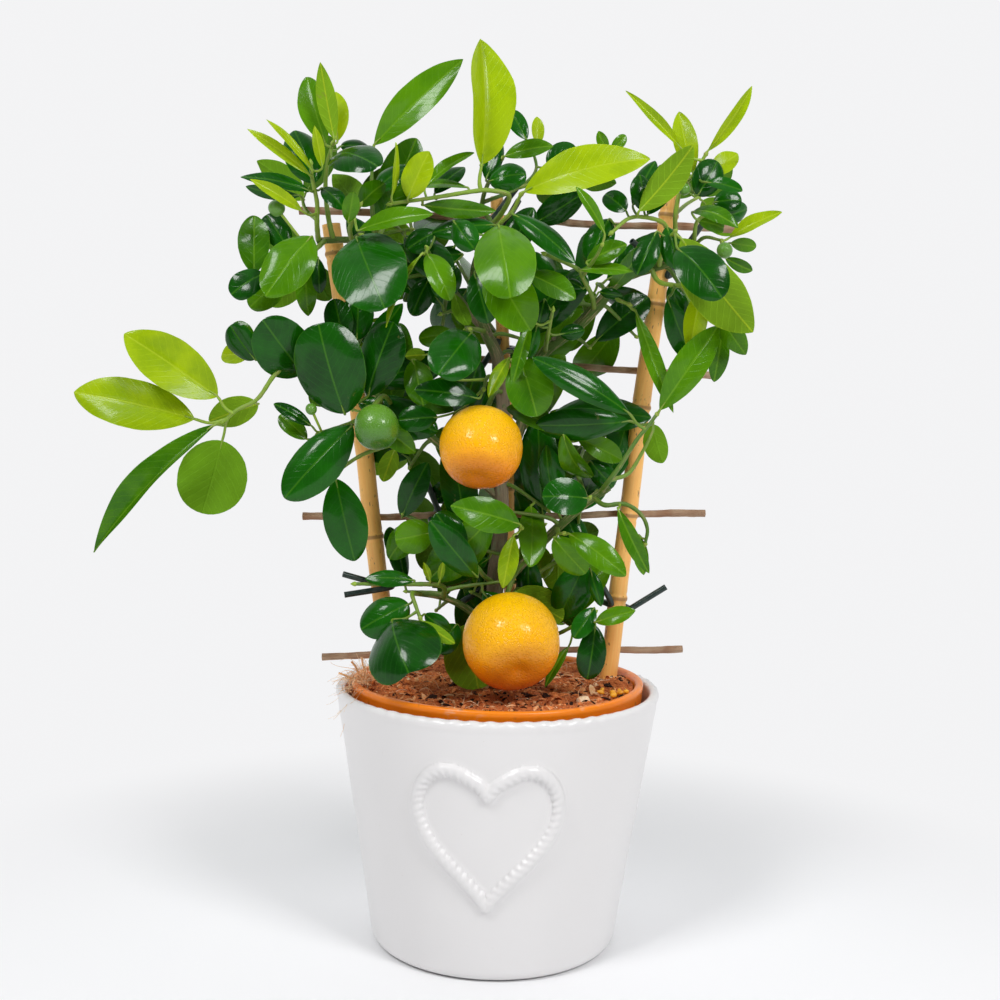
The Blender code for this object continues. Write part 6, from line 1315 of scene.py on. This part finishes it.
      (-4.3, 24.3, -4.2, -4.7, 25.4, -4.4, 0.5, 10, 15, 0.04, "L"),
      (-3.7, 24.3, -4.0, -3.5, 25.5, -4.2, 0.5, -10, 15, 0.04, "L")], []),
    ("shoot_left_lower", (-0.4, 24.2, 0.0),
     [[(-0.9, 24.6, -2.4), (-1.6, 25.4, -3.0), (-3.2, 26.8, -2.4), (-4.6, 27.8, -1.8),
       (-6.0, 28.4, -1.4)],
      [(-3.0, 26.6, -2.3), (-3.4, 27.4, 0.2), (-3.8, 27.8, 4.0)]],
     [(-1.4, 24.6, -4.8, -4.3, 27.9, -6.4, 2.3, 0, 18, 0.08, "D"),
      (-2.2, 26.1, -3.6, -4.0, 28.5, -3.8, 2.1, 5, 10, 0.06, "D"),
      (-4.2, 27.3, -2.6, -6.5, 26.8, -2.8, 2.3, 0, 8, 0.06, "M"),
      (-5.2, 27.9, -1.2, -6.9, 25.6, -1.4, 1.9, 10, 10, 0.06, "M"),
      (-6.1, 28.2, -1.4, -4.6, 31.6, -1.8, 1.9, -10, 10, 0.08, "D"),
      (-3.9, 27.9, 4.2, -6.2, 29.2, 6.2, 2.3, 170, 10, 0.1, "D"),
      (-3.7, 27.9, 4.2, -1.8, 29.6, 6.0, 2.3, 190, 10, 0.1, "M"),
      (-3.8, 27.6, 4.2, -4.6, 25.0, 6.4, 2.4, 175, 10, 0.12, "D")], []),
    ("shoot_left_middle", (-7.4, 35.3, -1.4),
     [[(-8.0, 34.8, -3.2), (-9.2, 34.0, -3.9), (-11.2, 33.3, -4.0)]],
     [(-9.2, 33.8, -4.6, -13.4, 29.3, -6.0, 3.2, 10, 12, 0.06, "D"),
      (-11.7, 33.7, -4.4, -14.0, 35.1, -5.0, 1.0, 30, 12, 0.05, "D"),
      (-12.0, 32.9, -3.6, -13.7, 34.4, -3.4, 1.35, 20, 14, 0.06, "M"),
      (-7.9, 34.1, -3.4, -5.3, 32.2, -3.2, 1.6, -10, 10, 0.06, "M")],
     [(-11.75, 34.75, -5.6, 0.36)]),
    ("shoot_left_low", (-4.6, 33.3, -0.8),
     [[(-6.4, 32.8, -1.6), (-8.6, 32.0, -1.9), (-10.2, 30.9, -2.2)],
      [(-5.0, 33.1, -1.4), (-5.6, 33.0, 1.6), (-5.8, 32.6, 4.2)]],
     [(-10.2, 30.5, -2.6, -9.0, 25.4, -2.8, 2.9, 0, 10, 0.05, "D"),
      (-6.6, 32.4, -1.4, -7.3, 30.4, -1.0, 1.3, 170, 10, 0.05, "L"),
      (-5.8, 32.9, 4.4, -7.8, 34.8, 6.4, 2.4, 170, 10, 0.1, "D"),
      (-5.9, 32.4, 4.4, -8.2, 31.0, 6.6, 2.4, 170, 10, 0.12, "M"),
      (-5.7, 32.4, 4.4, -4.0, 30.6, 6.6, 2.3, 190, 10, 0.12, "D")], []),
    ("shoot_left_spray", (-12.1, 37.35, -2.4),
     [[(-13.0, 37.5, -4.0), (-14.0, 36.8, -4.8), (-15.05, 35.3, -5.0), (-16.3, 34.6, -5.2),
       (-16.95, 34.0, -5.2)]],
     [(-17.5, 35.4, -5.6, -23.2, 39.2, -6.8, 3.4, 15, 14, 0.04, "L"),
      (-18.9, 34.0, -5.4, -26.4, 35.7, -6.0, 3.4, 20, 14, 0.04, "L"),
      (-17.6, 33.7, -6.2, -25.4, 25.8, -7.6, 2.9, 35, 28, 0.05, "M"),
      (-17.2, 32.7, -5.0, -18.4, 28.2, -5.4, 4.4, 175, 6, 0.06, "M"),
      (-15.0, 35.0, -4.2, -18.0, 33.9, -3.8, 2.0, 165, 8, 0.05, "L")], []),
    ("shoot_left_dark", (-9.2, 36.35, -1.7),
     [[(-9.6, 35.9, -3.4), (-9.7, 35.0, -4.4)],
      [(-9.6, 36.0, -3.3), (-9.3, 37.4, -2.8), (-9.3, 38.8, -2.4)],
      [(-9.3, 38.0, -2.6), (-8.6, 39.4, -0.2), (-8.2, 39.4, 3.0), (-8.7, 38.2, 4.4)]],
     [(-9.7, 34.5, -5.4, -11.4, 39.9, -6.9, 4.4, -5, 5, 0.08, "D"),
      (-8.3, 35.6, -4.6, -6.9, 40.1, -5.6, 2.9, -10, 10, 0.06, "D"),
      (-8.5, 37.8, -3.4, -6.3, 41.3, -3.8, 1.5, -10, 14, 0.06, "D"),
      (-9.0, 39.0, -2.6, -8.9, 41.8, -2.4, 2.2, 0, 12, 0.06, "D"),
      (-9.8, 38.9, -2.9, -10.4, 41.5, -2.9, 1.9, 10, 14, 0.05, "D"),
      (-9.5, 37.8, 4.4, -12.0, 39.4, 6.6, 2.6, 170, 10, 0.1, "D"),
      (-9.3, 37.9, 4.4, -7.2, 40.0, 6.4, 2.5, 190, 10, 0.1, "M"),
      (-9.6, 37.2, 4.4, -11.6, 35.2, 6.6, 2.6, 170, 10, 0.12, "D"),
      (-9.3, 37.2, 4.5, -7.2, 35.4, 7.0, 2.5, 190, 10, 0.12, "M")], []),
    ("shoot_left_outer", (-11.2, 37.05, -2.1),
     [[(-11.8, 38.0, -2.8), (-13.4, 38.3, -2.4), (-15.0, 38.0, -2.4)]],
     [(-12.3, 36.9, -3.7, -14.8, 40.5, -4.9, 3.7, 5, 12, 0.06, "D"),
      (-15.2, 37.7, -3.4, -16.8, 39.7, -3.8, 2.3, -20, 24, 0.04, "D"),
      (-15.4, 38.2, -2.4, -16.4, 40.0, -2.2, 1.5, 10, 12, 0.06, "M"),
      (-15.6, 37.9, -1.8, -17.3, 38.0, -1.4, 1.5, 20, 12, 0.05, "L")], []),
    ("shoot_left_upper", (-11.0, 44.95, -1.7),
     [[(-11.6, 44.4, -3.0), (-12.6, 43.6, -3.2), (-14.2, 42.9, -3.2)],
      [(-12.4, 43.7, -3.1), (-12.6, 44.0, -0.4), (-12.4, 43.6, 3.6)]],
     [(-11.8, 45.2, -4.0, -14.6, 41.7, -6.0, 3.0, 5, 6, 0.08, "M"),
      (-15.3, 42.9, -2.6, -15.3, 46.4, -2.4, 2.1, 10, 10, 0.05, "M"),
      (-14.7, 42.9, -4.0, -16.7, 41.7, -4.8, 1.9, 15, 8, 0.1, "D"),
      (-13.5, 42.6, -2.6, -15.6, 40.9, -2.8, 2.2, 15, 10, 0.06, "M"),
      (-12.2, 43.3, -2.4, -12.0, 40.4, -2.4, 1.4, 0, 10, 0.05, "M"),
      (-11.4, 43.9, -3.0, -11.3, 41.8, -3.2, 1.0, -5, 12, 0.05, "D"),
      (-13.2, 44.4, -2.2, -14.6, 46.5, -1.8, 1.9, 10, 10, 0.06, "D"),
      (-12.4, 43.8, 3.8, -14.4, 45.6, 5.8, 2.4, 170, 10, 0.1, "D"),
      (-12.6, 43.2, 3.8, -14.2, 41.0, 6.0, 2.4, 170, 10, 0.12, "M"),
      (-12.2, 43.3, 3.8, -10.6, 41.4, 6.0, 2.3, 190, 10, 0.12, "D")],
     [(-13.95, 46.85, -4.6, 0.52)]),
    ("shoot_big_round", (-7.2, 44.6, -1.0),
     [[(-7.8, 44.9, -2.6), (-8.7, 45.3, -3.2)],
      [(-7.8, 45.2, -2.6), (-7.2, 46.1, -0.6), (-6.2, 45.4, 1.8), (-5.8, 44.4, 3.8)]],
     [(-9.1, 45.2, -3.8, -7.4, 41.1, -7.4, 4.8, 0, 4, 0.08, "D"),
      (-5.9, 44.4, 4.0, -7.8, 46.2, 6.2, 2.4, 170, 10, 0.1, "M"),
      (-5.7, 44.4, 4.0, -3.6, 45.8, 6.2, 2.4, 190, 10, 0.1, "D"),
      (-5.8, 43.9, 4.0, -6.8, 41.6, 6.4, 2.5, 175, 10, 0.12, "D"),
      (-5.5, 43.9, 4.1, -3.6, 42.2, 6.6, 2.4, 190, 10, 0.12, "M")], []),
    ("shoot_centre", (-1.75, 43.5, -0.8),
     [[(-1.4, 44.0, -2.9), (-1.0, 44.9, -3.9), (-0.6, 45.8, -4.8)]],
     [(-0.5, 46.1, -5.3, 0.3, 41.9, -8.8, 3.9, 0, -10, 0.12, "M"),
      (-0.9, 43.7, -5.0, 1.5, 39.9, -6.6, 3.2, 5, 12, 0.08, "M"),
      (-1.9, 43.2, -3.9, -1.0, 40.2, -4.6, 1.9, 0, 10, 0.08, "D"),
      (-3.2, 46.3, -4.9, -2.0, 44.7, -6.2, 1.7, 10, 8, 0.08, "D"),
      (1.4, 43.2, -4.6, 4.3, 41.8, -5.0, 1.7, -15, 12, 0.08, "M")], []),
    ("shoot_centre_left", (-3.7, 42.4, -0.6),
     [[(-4.1, 43.2, -2.2), (-4.5, 44.0, -3.2), (-4.8, 44.6, -3.9)]],
     [(-4.8, 44.3, -4.6, -3.3, 41.6, -5.2, 1.9, -20, 20, 0.08, "M"),
      (-5.1, 44.3, -5.2, -7.4, 39.9, -6.6, 1.1, 60, 20, 0.04, "L"),
      (-4.3, 45.6, -3.0, -6.0, 44.6, -3.4, 1.6, 10, 10, 0.08, "D"),
      (-2.6, 44.3, -2.4, -5.6, 44.0, -1.8, 1.5, 10, 8, 0.08, "D"),
      (-3.0, 43.6, -2.8, -4.2, 41.8, -3.2, 1.9, 5, 10, 0.08, "D"),
      (-4.6, 42.9, -1.8, -5.7, 40.6, -2.0, 1.7, 10, 10, 0.06, "D")], []),
    ("shoot_centre_low", (-1.1, 39.7, -0.4),
     [[(-1.8, 39.8, -2.2), (-2.3, 39.9, -3.6), (-2.1, 39.8, -4.6)]],
     [(-2.0, 39.6, -5.0, -3.9, 37.2, -8.0, 3.2, 5, 6, 0.08, "D"),
      (-3.1, 41.9, -3.8, -2.2, 40.0, -4.2, 1.2, 150, 12, 0.06, "M"),
      (-3.0, 39.5, -3.0, -5.8, 39.1, -3.0, 1.8, 10, 8, 0.06, "M"),
      (-4.8, 38.2, -3.4, -6.0, 38.1, -3.2, 0.95, 160, 8, 0.04, "L")], []),
    ("shoot_centre_right", (2.5, 38.5, -0.5),
     [[(2.6, 39.3, -2.3), (2.9, 41.0, -3.0)]],
     [(1.6, 40.3, -4.2, 0.5, 36.4, -5.0, 1.05, 10, 20, 0.06, "M"),
      (2.0, 40.1, -2.9, 1.5, 38.1, -2.8, 0.9, 0, 12, 0.04, "D"),
      (2.4, 41.7, -3.6, 2.1, 40.3, -3.8, 0.95, 0, 10, 0.06, "D"),
      (3.4, 39.6, -2.4, 4.9, 39.9, -2.2, 1.1, 0, 10, 0.06, "D")], []),
    ("shoot_above_mandarin", (-0.1, 36.6, -0.1),
     [[(-0.7, 36.9, -2.2), (-1.0, 36.9, -3.4), (-1.2, 36.2, -4.4)],
      [(-0.8, 36.9, -2.4), (0.3, 37.9, -3.0)]],
     [(-5.5, 37.9, -3.6, -4.9, 35.1, -4.6, 1.9, 0, 8, 0.08, "M"),
      (-1.5, 35.6, -5.2, -5.4, 36.1, -6.4, 1.75, 20, 8, 0.06, "D"),
      (0.3, 38.1, -3.8, -0.9, 35.7, -5.4, 1.2, 15, 24, 0.06, "L"),
      (1.0, 38.0, -4.2, 1.9, 35.4, -6.6, 3.0, -5, 6, 0.06, "M"),
      (-4.0, 34.4, -4.6, -6.4, 34.2, -4.6, 1.7, 10, 8, 0.08, "D")], []),
    ("shoot_under_mandarin", (0.0, 27.8, 0.0),
     [[(0.9, 27.8, -2.4), (1.3, 27.7, -4.0)],
      [(0.6, 27.8, -1.6), (-1.6, 29.6, 0.4), (-2.2, 31.0, 2.0)]],
     [(1.2, 27.9, -4.8, -3.0, 29.0, -6.8, 2.2, 15, 8, 0.08, "M"),
      (0.8, 27.2, -4.2, 0.2, 23.9, -4.8, 1.4, 0, 16, 0.06, "L"),
      (-2.2, 31.2, 2.2, -3.8, 33.6, 3.6, 2.4, 170, 10, 0.1, "D"),
      (-2.0, 31.2, 2.4, 0.2, 33.0, 4.4, 2.4, 190, 10, 0.1, "M")], []),
    ("shoot_beside_fruit", (-0.6, 19.9, 0.0),
     [[(-1.6, 20.2, -0.4), (-2.2, 21.2, -0.8)]],
     [(-2.0, 21.6, -1.2, -1.2, 17.6, -1.6, 3.8, 175, 6, 0.05, "L"),
      (-2.6, 21.6, -1.6, -3.8, 19.8, -2.6, 1.8, 20, 10, 0.08, "D")], []),
]

for name, start, twigs, leaves, fruitlets in SHOOTS:
    rng = np.random.default_rng(sum(map(ord, name)))
    shoot = Patches()
    lines = []
    for i, twig in enumerate(twigs):
        points = [crown(*p) for p in twig]
        if i == 0:
            points.insert(0, closest(BRANCH_LINES, crown(*start)))
        else:
            points[0] = closest(lines, points[0])
        lines.append(even(smooth(points, 6), 0.0018))
        shade = rng.uniform(0.1, 0.5) + 0.4 * (leaves[0][-1] == "L")
        add_twig(shoot, points, 0.0017 if i == 0 else 0.0014, shade)
    spots = np.array([v.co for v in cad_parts[name].data.vertices])
    for bx, bz, by, tx, tz, ty, width, roll, fold, arch, age in leaves:
        base, tip, fold = crown(bx, bz, by), crown(tx, tz, ty), math.radians(fold)
        length, wide, axes = as_modelled(spots, base, tip, width * 0.01, roll, fold, arch)
        hang_leaf(shoot, rng, base, length, wide, axes, closest(lines, base), fold, arch, age)
    for bx, bz, by, radius in fruitlets:
        middle = crown(bx, bz, by)
        add_fruitlet(shoot, middle, radius * 0.01, closest(lines, middle), rng)
    shoot.piece(name + "_leaves", SHOOT_LOOKS, AGE_SLOTS[leaves[0][-1]], name, sharp=60)

# ---------------------------------------------------------------- inner leaves
# Dark old leaves on short side twigs fill the inside of the crown, behind the shoots. Each
# keeps clear of the leaves, canes, sticks and fruit already there.
FRUITS = {
    "mandarin_upper": ((-1.3, 32.6, -5.0), 0.0265, 0.95, (-0.4, 36.0, 0.0), (-0.07, -0.67, -0.74), 0.0022),
    "mandarin_lower": ((0.8, 20.6, -5.0), 0.0312, 0.95, (1.6, 25.7, -1.1), (0.18, -0.82, -0.54), 0.0048),
    "mandarin_green": ((-7.75, 33.75, -6.0), 0.0140, 1.0, (-6.7, 35.0, -1.2), (0.10, -0.60, -0.79), 0.0008),
}
INNER_SPRIGS = 200
INNER_LEAF = (0.038, 0.066)   # shortest and longest
# Inner twigs end in this block. Their leaves keep to a shape that widens upwards, and clear
# of the leaves, fruit, canes and sticks that stand in front.
TWIG_LOW, TWIG_HIGH, TWIG_SIDE, TWIG_BACK = 0.20, 0.50, 0.13, 0.075
LEAF_LOW, LEAF_HIGH = 0.185, 0.53
LEAF_SIDE, LEAF_SPREAD, SPREAD_BASE = 0.060, 0.35, 0.20
LEAF_CLEARANCE = 0.0042
for middle, radius, *_ in FRUITS.values():
    ways = np.random.default_rng(3).normal(size=(260, 3))
    TAKEN.append(crown(*middle) + ways / np.linalg.norm(ways, axis=1)[:, None] * radius)
for line, radius in CARRIERS.values():
    for ahead in (0.0, 0.012, 0.024, 0.036):
        TAKEN.append(even(line, 0.003) - (0, radius + ahead, 0))
rng = np.random.default_rng(41)
inner = Patches()
for k in range(INNER_SPRIGS):
    line = BRANCH_LINES[rng.choice(6, p=[0.34, 0.18, 0.12, 0.14, 0.07, 0.15])]
    share = rng.uniform(0.22, 0.98)
    spot = line[int(share * (len(line) - 1)), :3]
    way = unit(np.array([rng.normal(), rng.uniform(-0.35, 1.3), rng.normal() * 0.7 + 0.15]))
    end = spot + way * rng.uniform(0.018, 0.042)
    if end[2] < TWIG_LOW or end[2] > TWIG_HIGH or abs(end[0]) > TWIG_SIDE or end[1] > TWIG_BACK:
        continue
    twig = [spot, spot + way * 0.010 + (0, 0, 0.003), end]
    taken = np.concatenate(TAKEN)
    leaves = []
    for j in range(4):
        a = 2.4 * j + rng.uniform(0, 6.3)
        across = np.cross(way, (math.cos(a), math.sin(a), 0.3))
        aim = way * 0.55 + unit(across)
        aim[1] *= 0.6
        aim = unit(aim)
        base = twig[1] + (end - twig[1]) * (0.25 + 0.25 * j) + aim * 0.006
        length = rng.uniform(*INNER_LEAF)
        axes = facing(base, base + aim, rng.uniform(-45, 45))
        u, v = np.meshgrid(np.linspace(0.08, 1.0, 7), np.linspace(-0.36, 0.36, 5))
        broad = (v * np.sqrt(u * (1.02 - u))).ravel()[:, None] * axes[1] * 1.2
        probe = base + (u.ravel()[:, None] * axes[0] + broad) * length
        if probe[:, 2].min() < LEAF_LOW or probe[:, 2].max() > LEAF_HIGH:
            continue
        if (np.abs(probe[:, 0]) - LEAF_SPREAD * (probe[:, 2] - SPREAD_BASE)).max() > LEAF_SIDE:
            continue
        if np.sqrt(((probe[:, None] - taken) ** 2).sum(-1)).min() < LEAF_CLEARANCE:
            continue
        leaves.append((base, length, axes))
    if leaves:
        add_twig(inner, twig, 0.0015, 0.2)
        for base, length, axes in leaves:
            hang_leaf(inner, rng, base, length, length * rng.uniform(0.42, 0.52), axes,
                      closest([np.array(twig)], base), 0.18, 0.06, "D" if rng.uniform() < 0.75 else "M")
inner.piece("inner_leaves", SHOOT_LOOKS, "old_leaf", sharp=60)

# ---------------------------------------------------------------- mandarins
# Two ripe mandarins and a green one hang in front of the crown on short green stalks. The
# peel is finely pitted and glossy, and the blossom end has a small dimple. Painted light and
# shade: the peel is painted lighter on top and darker below, the ripe one yellower on top
# and redder below.
ripe = Look("ripe_mandarin_peel", Specular_IOR_Level=0.32, Coat_Weight=0.12, Coat_Roughness=0.12)
pits = ripe.here.cells(760.0).rise(0.0, 0.62)
swell = ripe.here.noise(150.0, 2.0)
# Painted light and shade: the height on the fruit makes the ripe peel yellower and lighter on top, redder
# and darker below.
painted_light_tone = ripe.tone + (ripe.here.noise(42.0, 3.0) - 0.5) * 0.35
warm = painted_light_tone.ramp((0.0, (0.78, 0.150, 0.0)), (0.25, (0.95, 0.30, 0.0)), (0.50, (1.0, 0.45, 0.0)),
                (1.0, (1.0, 0.57, 0.0)))
pitted = ((1.0 - pits) * 0.16).blend(warm, (0.70, 0.14, 0.0))
stalk_way = ripe.uv.part(1)
browned = (stalk_way.rise(0.17, 0.03) * 0.6).blend(pitted, (0.50, 0.15, 0.01))
ripe.feed(Base_Color=(stalk_way.rise(0.045, 0.0) * 0.9).blend(browned, (0.10, 0.04, 0.01)),
          Roughness=0.20 + swell * 0.10, height=pits * 0.8 + swell * 0.8, strength=0.5, depth=0.0010)
unripe = Look("green_mandarin_peel", Coat_Weight=0.35, Coat_Roughness=0.12)
pits = unripe.here.cells(950.0).rise(0.0, 0.6)
# Painted light and shade: the height on the fruit makes the green peel lighter on top and darker below.
painted_light_tone = unripe.tone + (unripe.here.noise(70.0) - 0.5) * 0.5
unripe.feed(Base_Color=painted_light_tone.blend((0.025, 0.13, 0.006), (0.13, 0.32, 0.02)),
            Roughness=0.22 + pits * 0.08, height=pits, strength=0.4, depth=0.0005)
for name, (middle, radius, squash, start, blossom, dimple) in FRUITS.items():
    green = name == "mandarin_green"
    middle, start = crown(*middle), closest(BRANCH_LINES, crown(*start))
    blossom = unit(np.array(blossom))
    points, faces, local = ball(middle, radius, blossom, squash, 96, 64, dimple, 0.22)
    share = (local[:, 2] / radius / squash + 1) / 2
    # The tone is the height on the fruit, which paints light on the top of the peel and shade below.
    light = np.clip((points[:, 2] - middle[2]) / radius * 0.5 + 0.5, 0, 1)
    fruit = Patches()
    uneven = rumple(points, 0.030, 6, 2)[:, None] * 0.00035 * (points - middle) / radius
    fruit.add(points + uneven, faces, grain=local, tone=light, uv=np.stack([0 * share, share], -1))
    cap = middle - blossom * radius * squash * 0.93
    for k in range(5):
        a = 2 * math.pi * k / 5
        side = unit(np.cross(blossom, (math.cos(a), 0.3, math.sin(a))))
        sepal = [cap - blossom * 0.0012, cap - blossom * 0.0014 + side * 0.0022,
                 cap - blossom * 0.0002 + side * 0.0046]
        points, faces, straight = bar(sepal, (0.0012, 0.0011, 0.0003), 6)
        fruit.add(points, faces, 1, grain=straight, tone=0.3)
    lift = cap - blossom * 0.004
    line = even(smooth([start, start * 0.5 + lift * 0.5 + (0, -0.002, 0.006), lift, cap], 8), 0.0015)
    points, faces, straight = bar(line, np.linspace(0.0013, 0.0019, len(line)), 10)
    fruit.add(points, faces, 1, grain=straight, tone=0.3)
    fruit.piece(name + "_fruit", [unripe if green else ripe, twig_bark],
                "green_peel" if green else "ripe_peel", name, sharp=60)
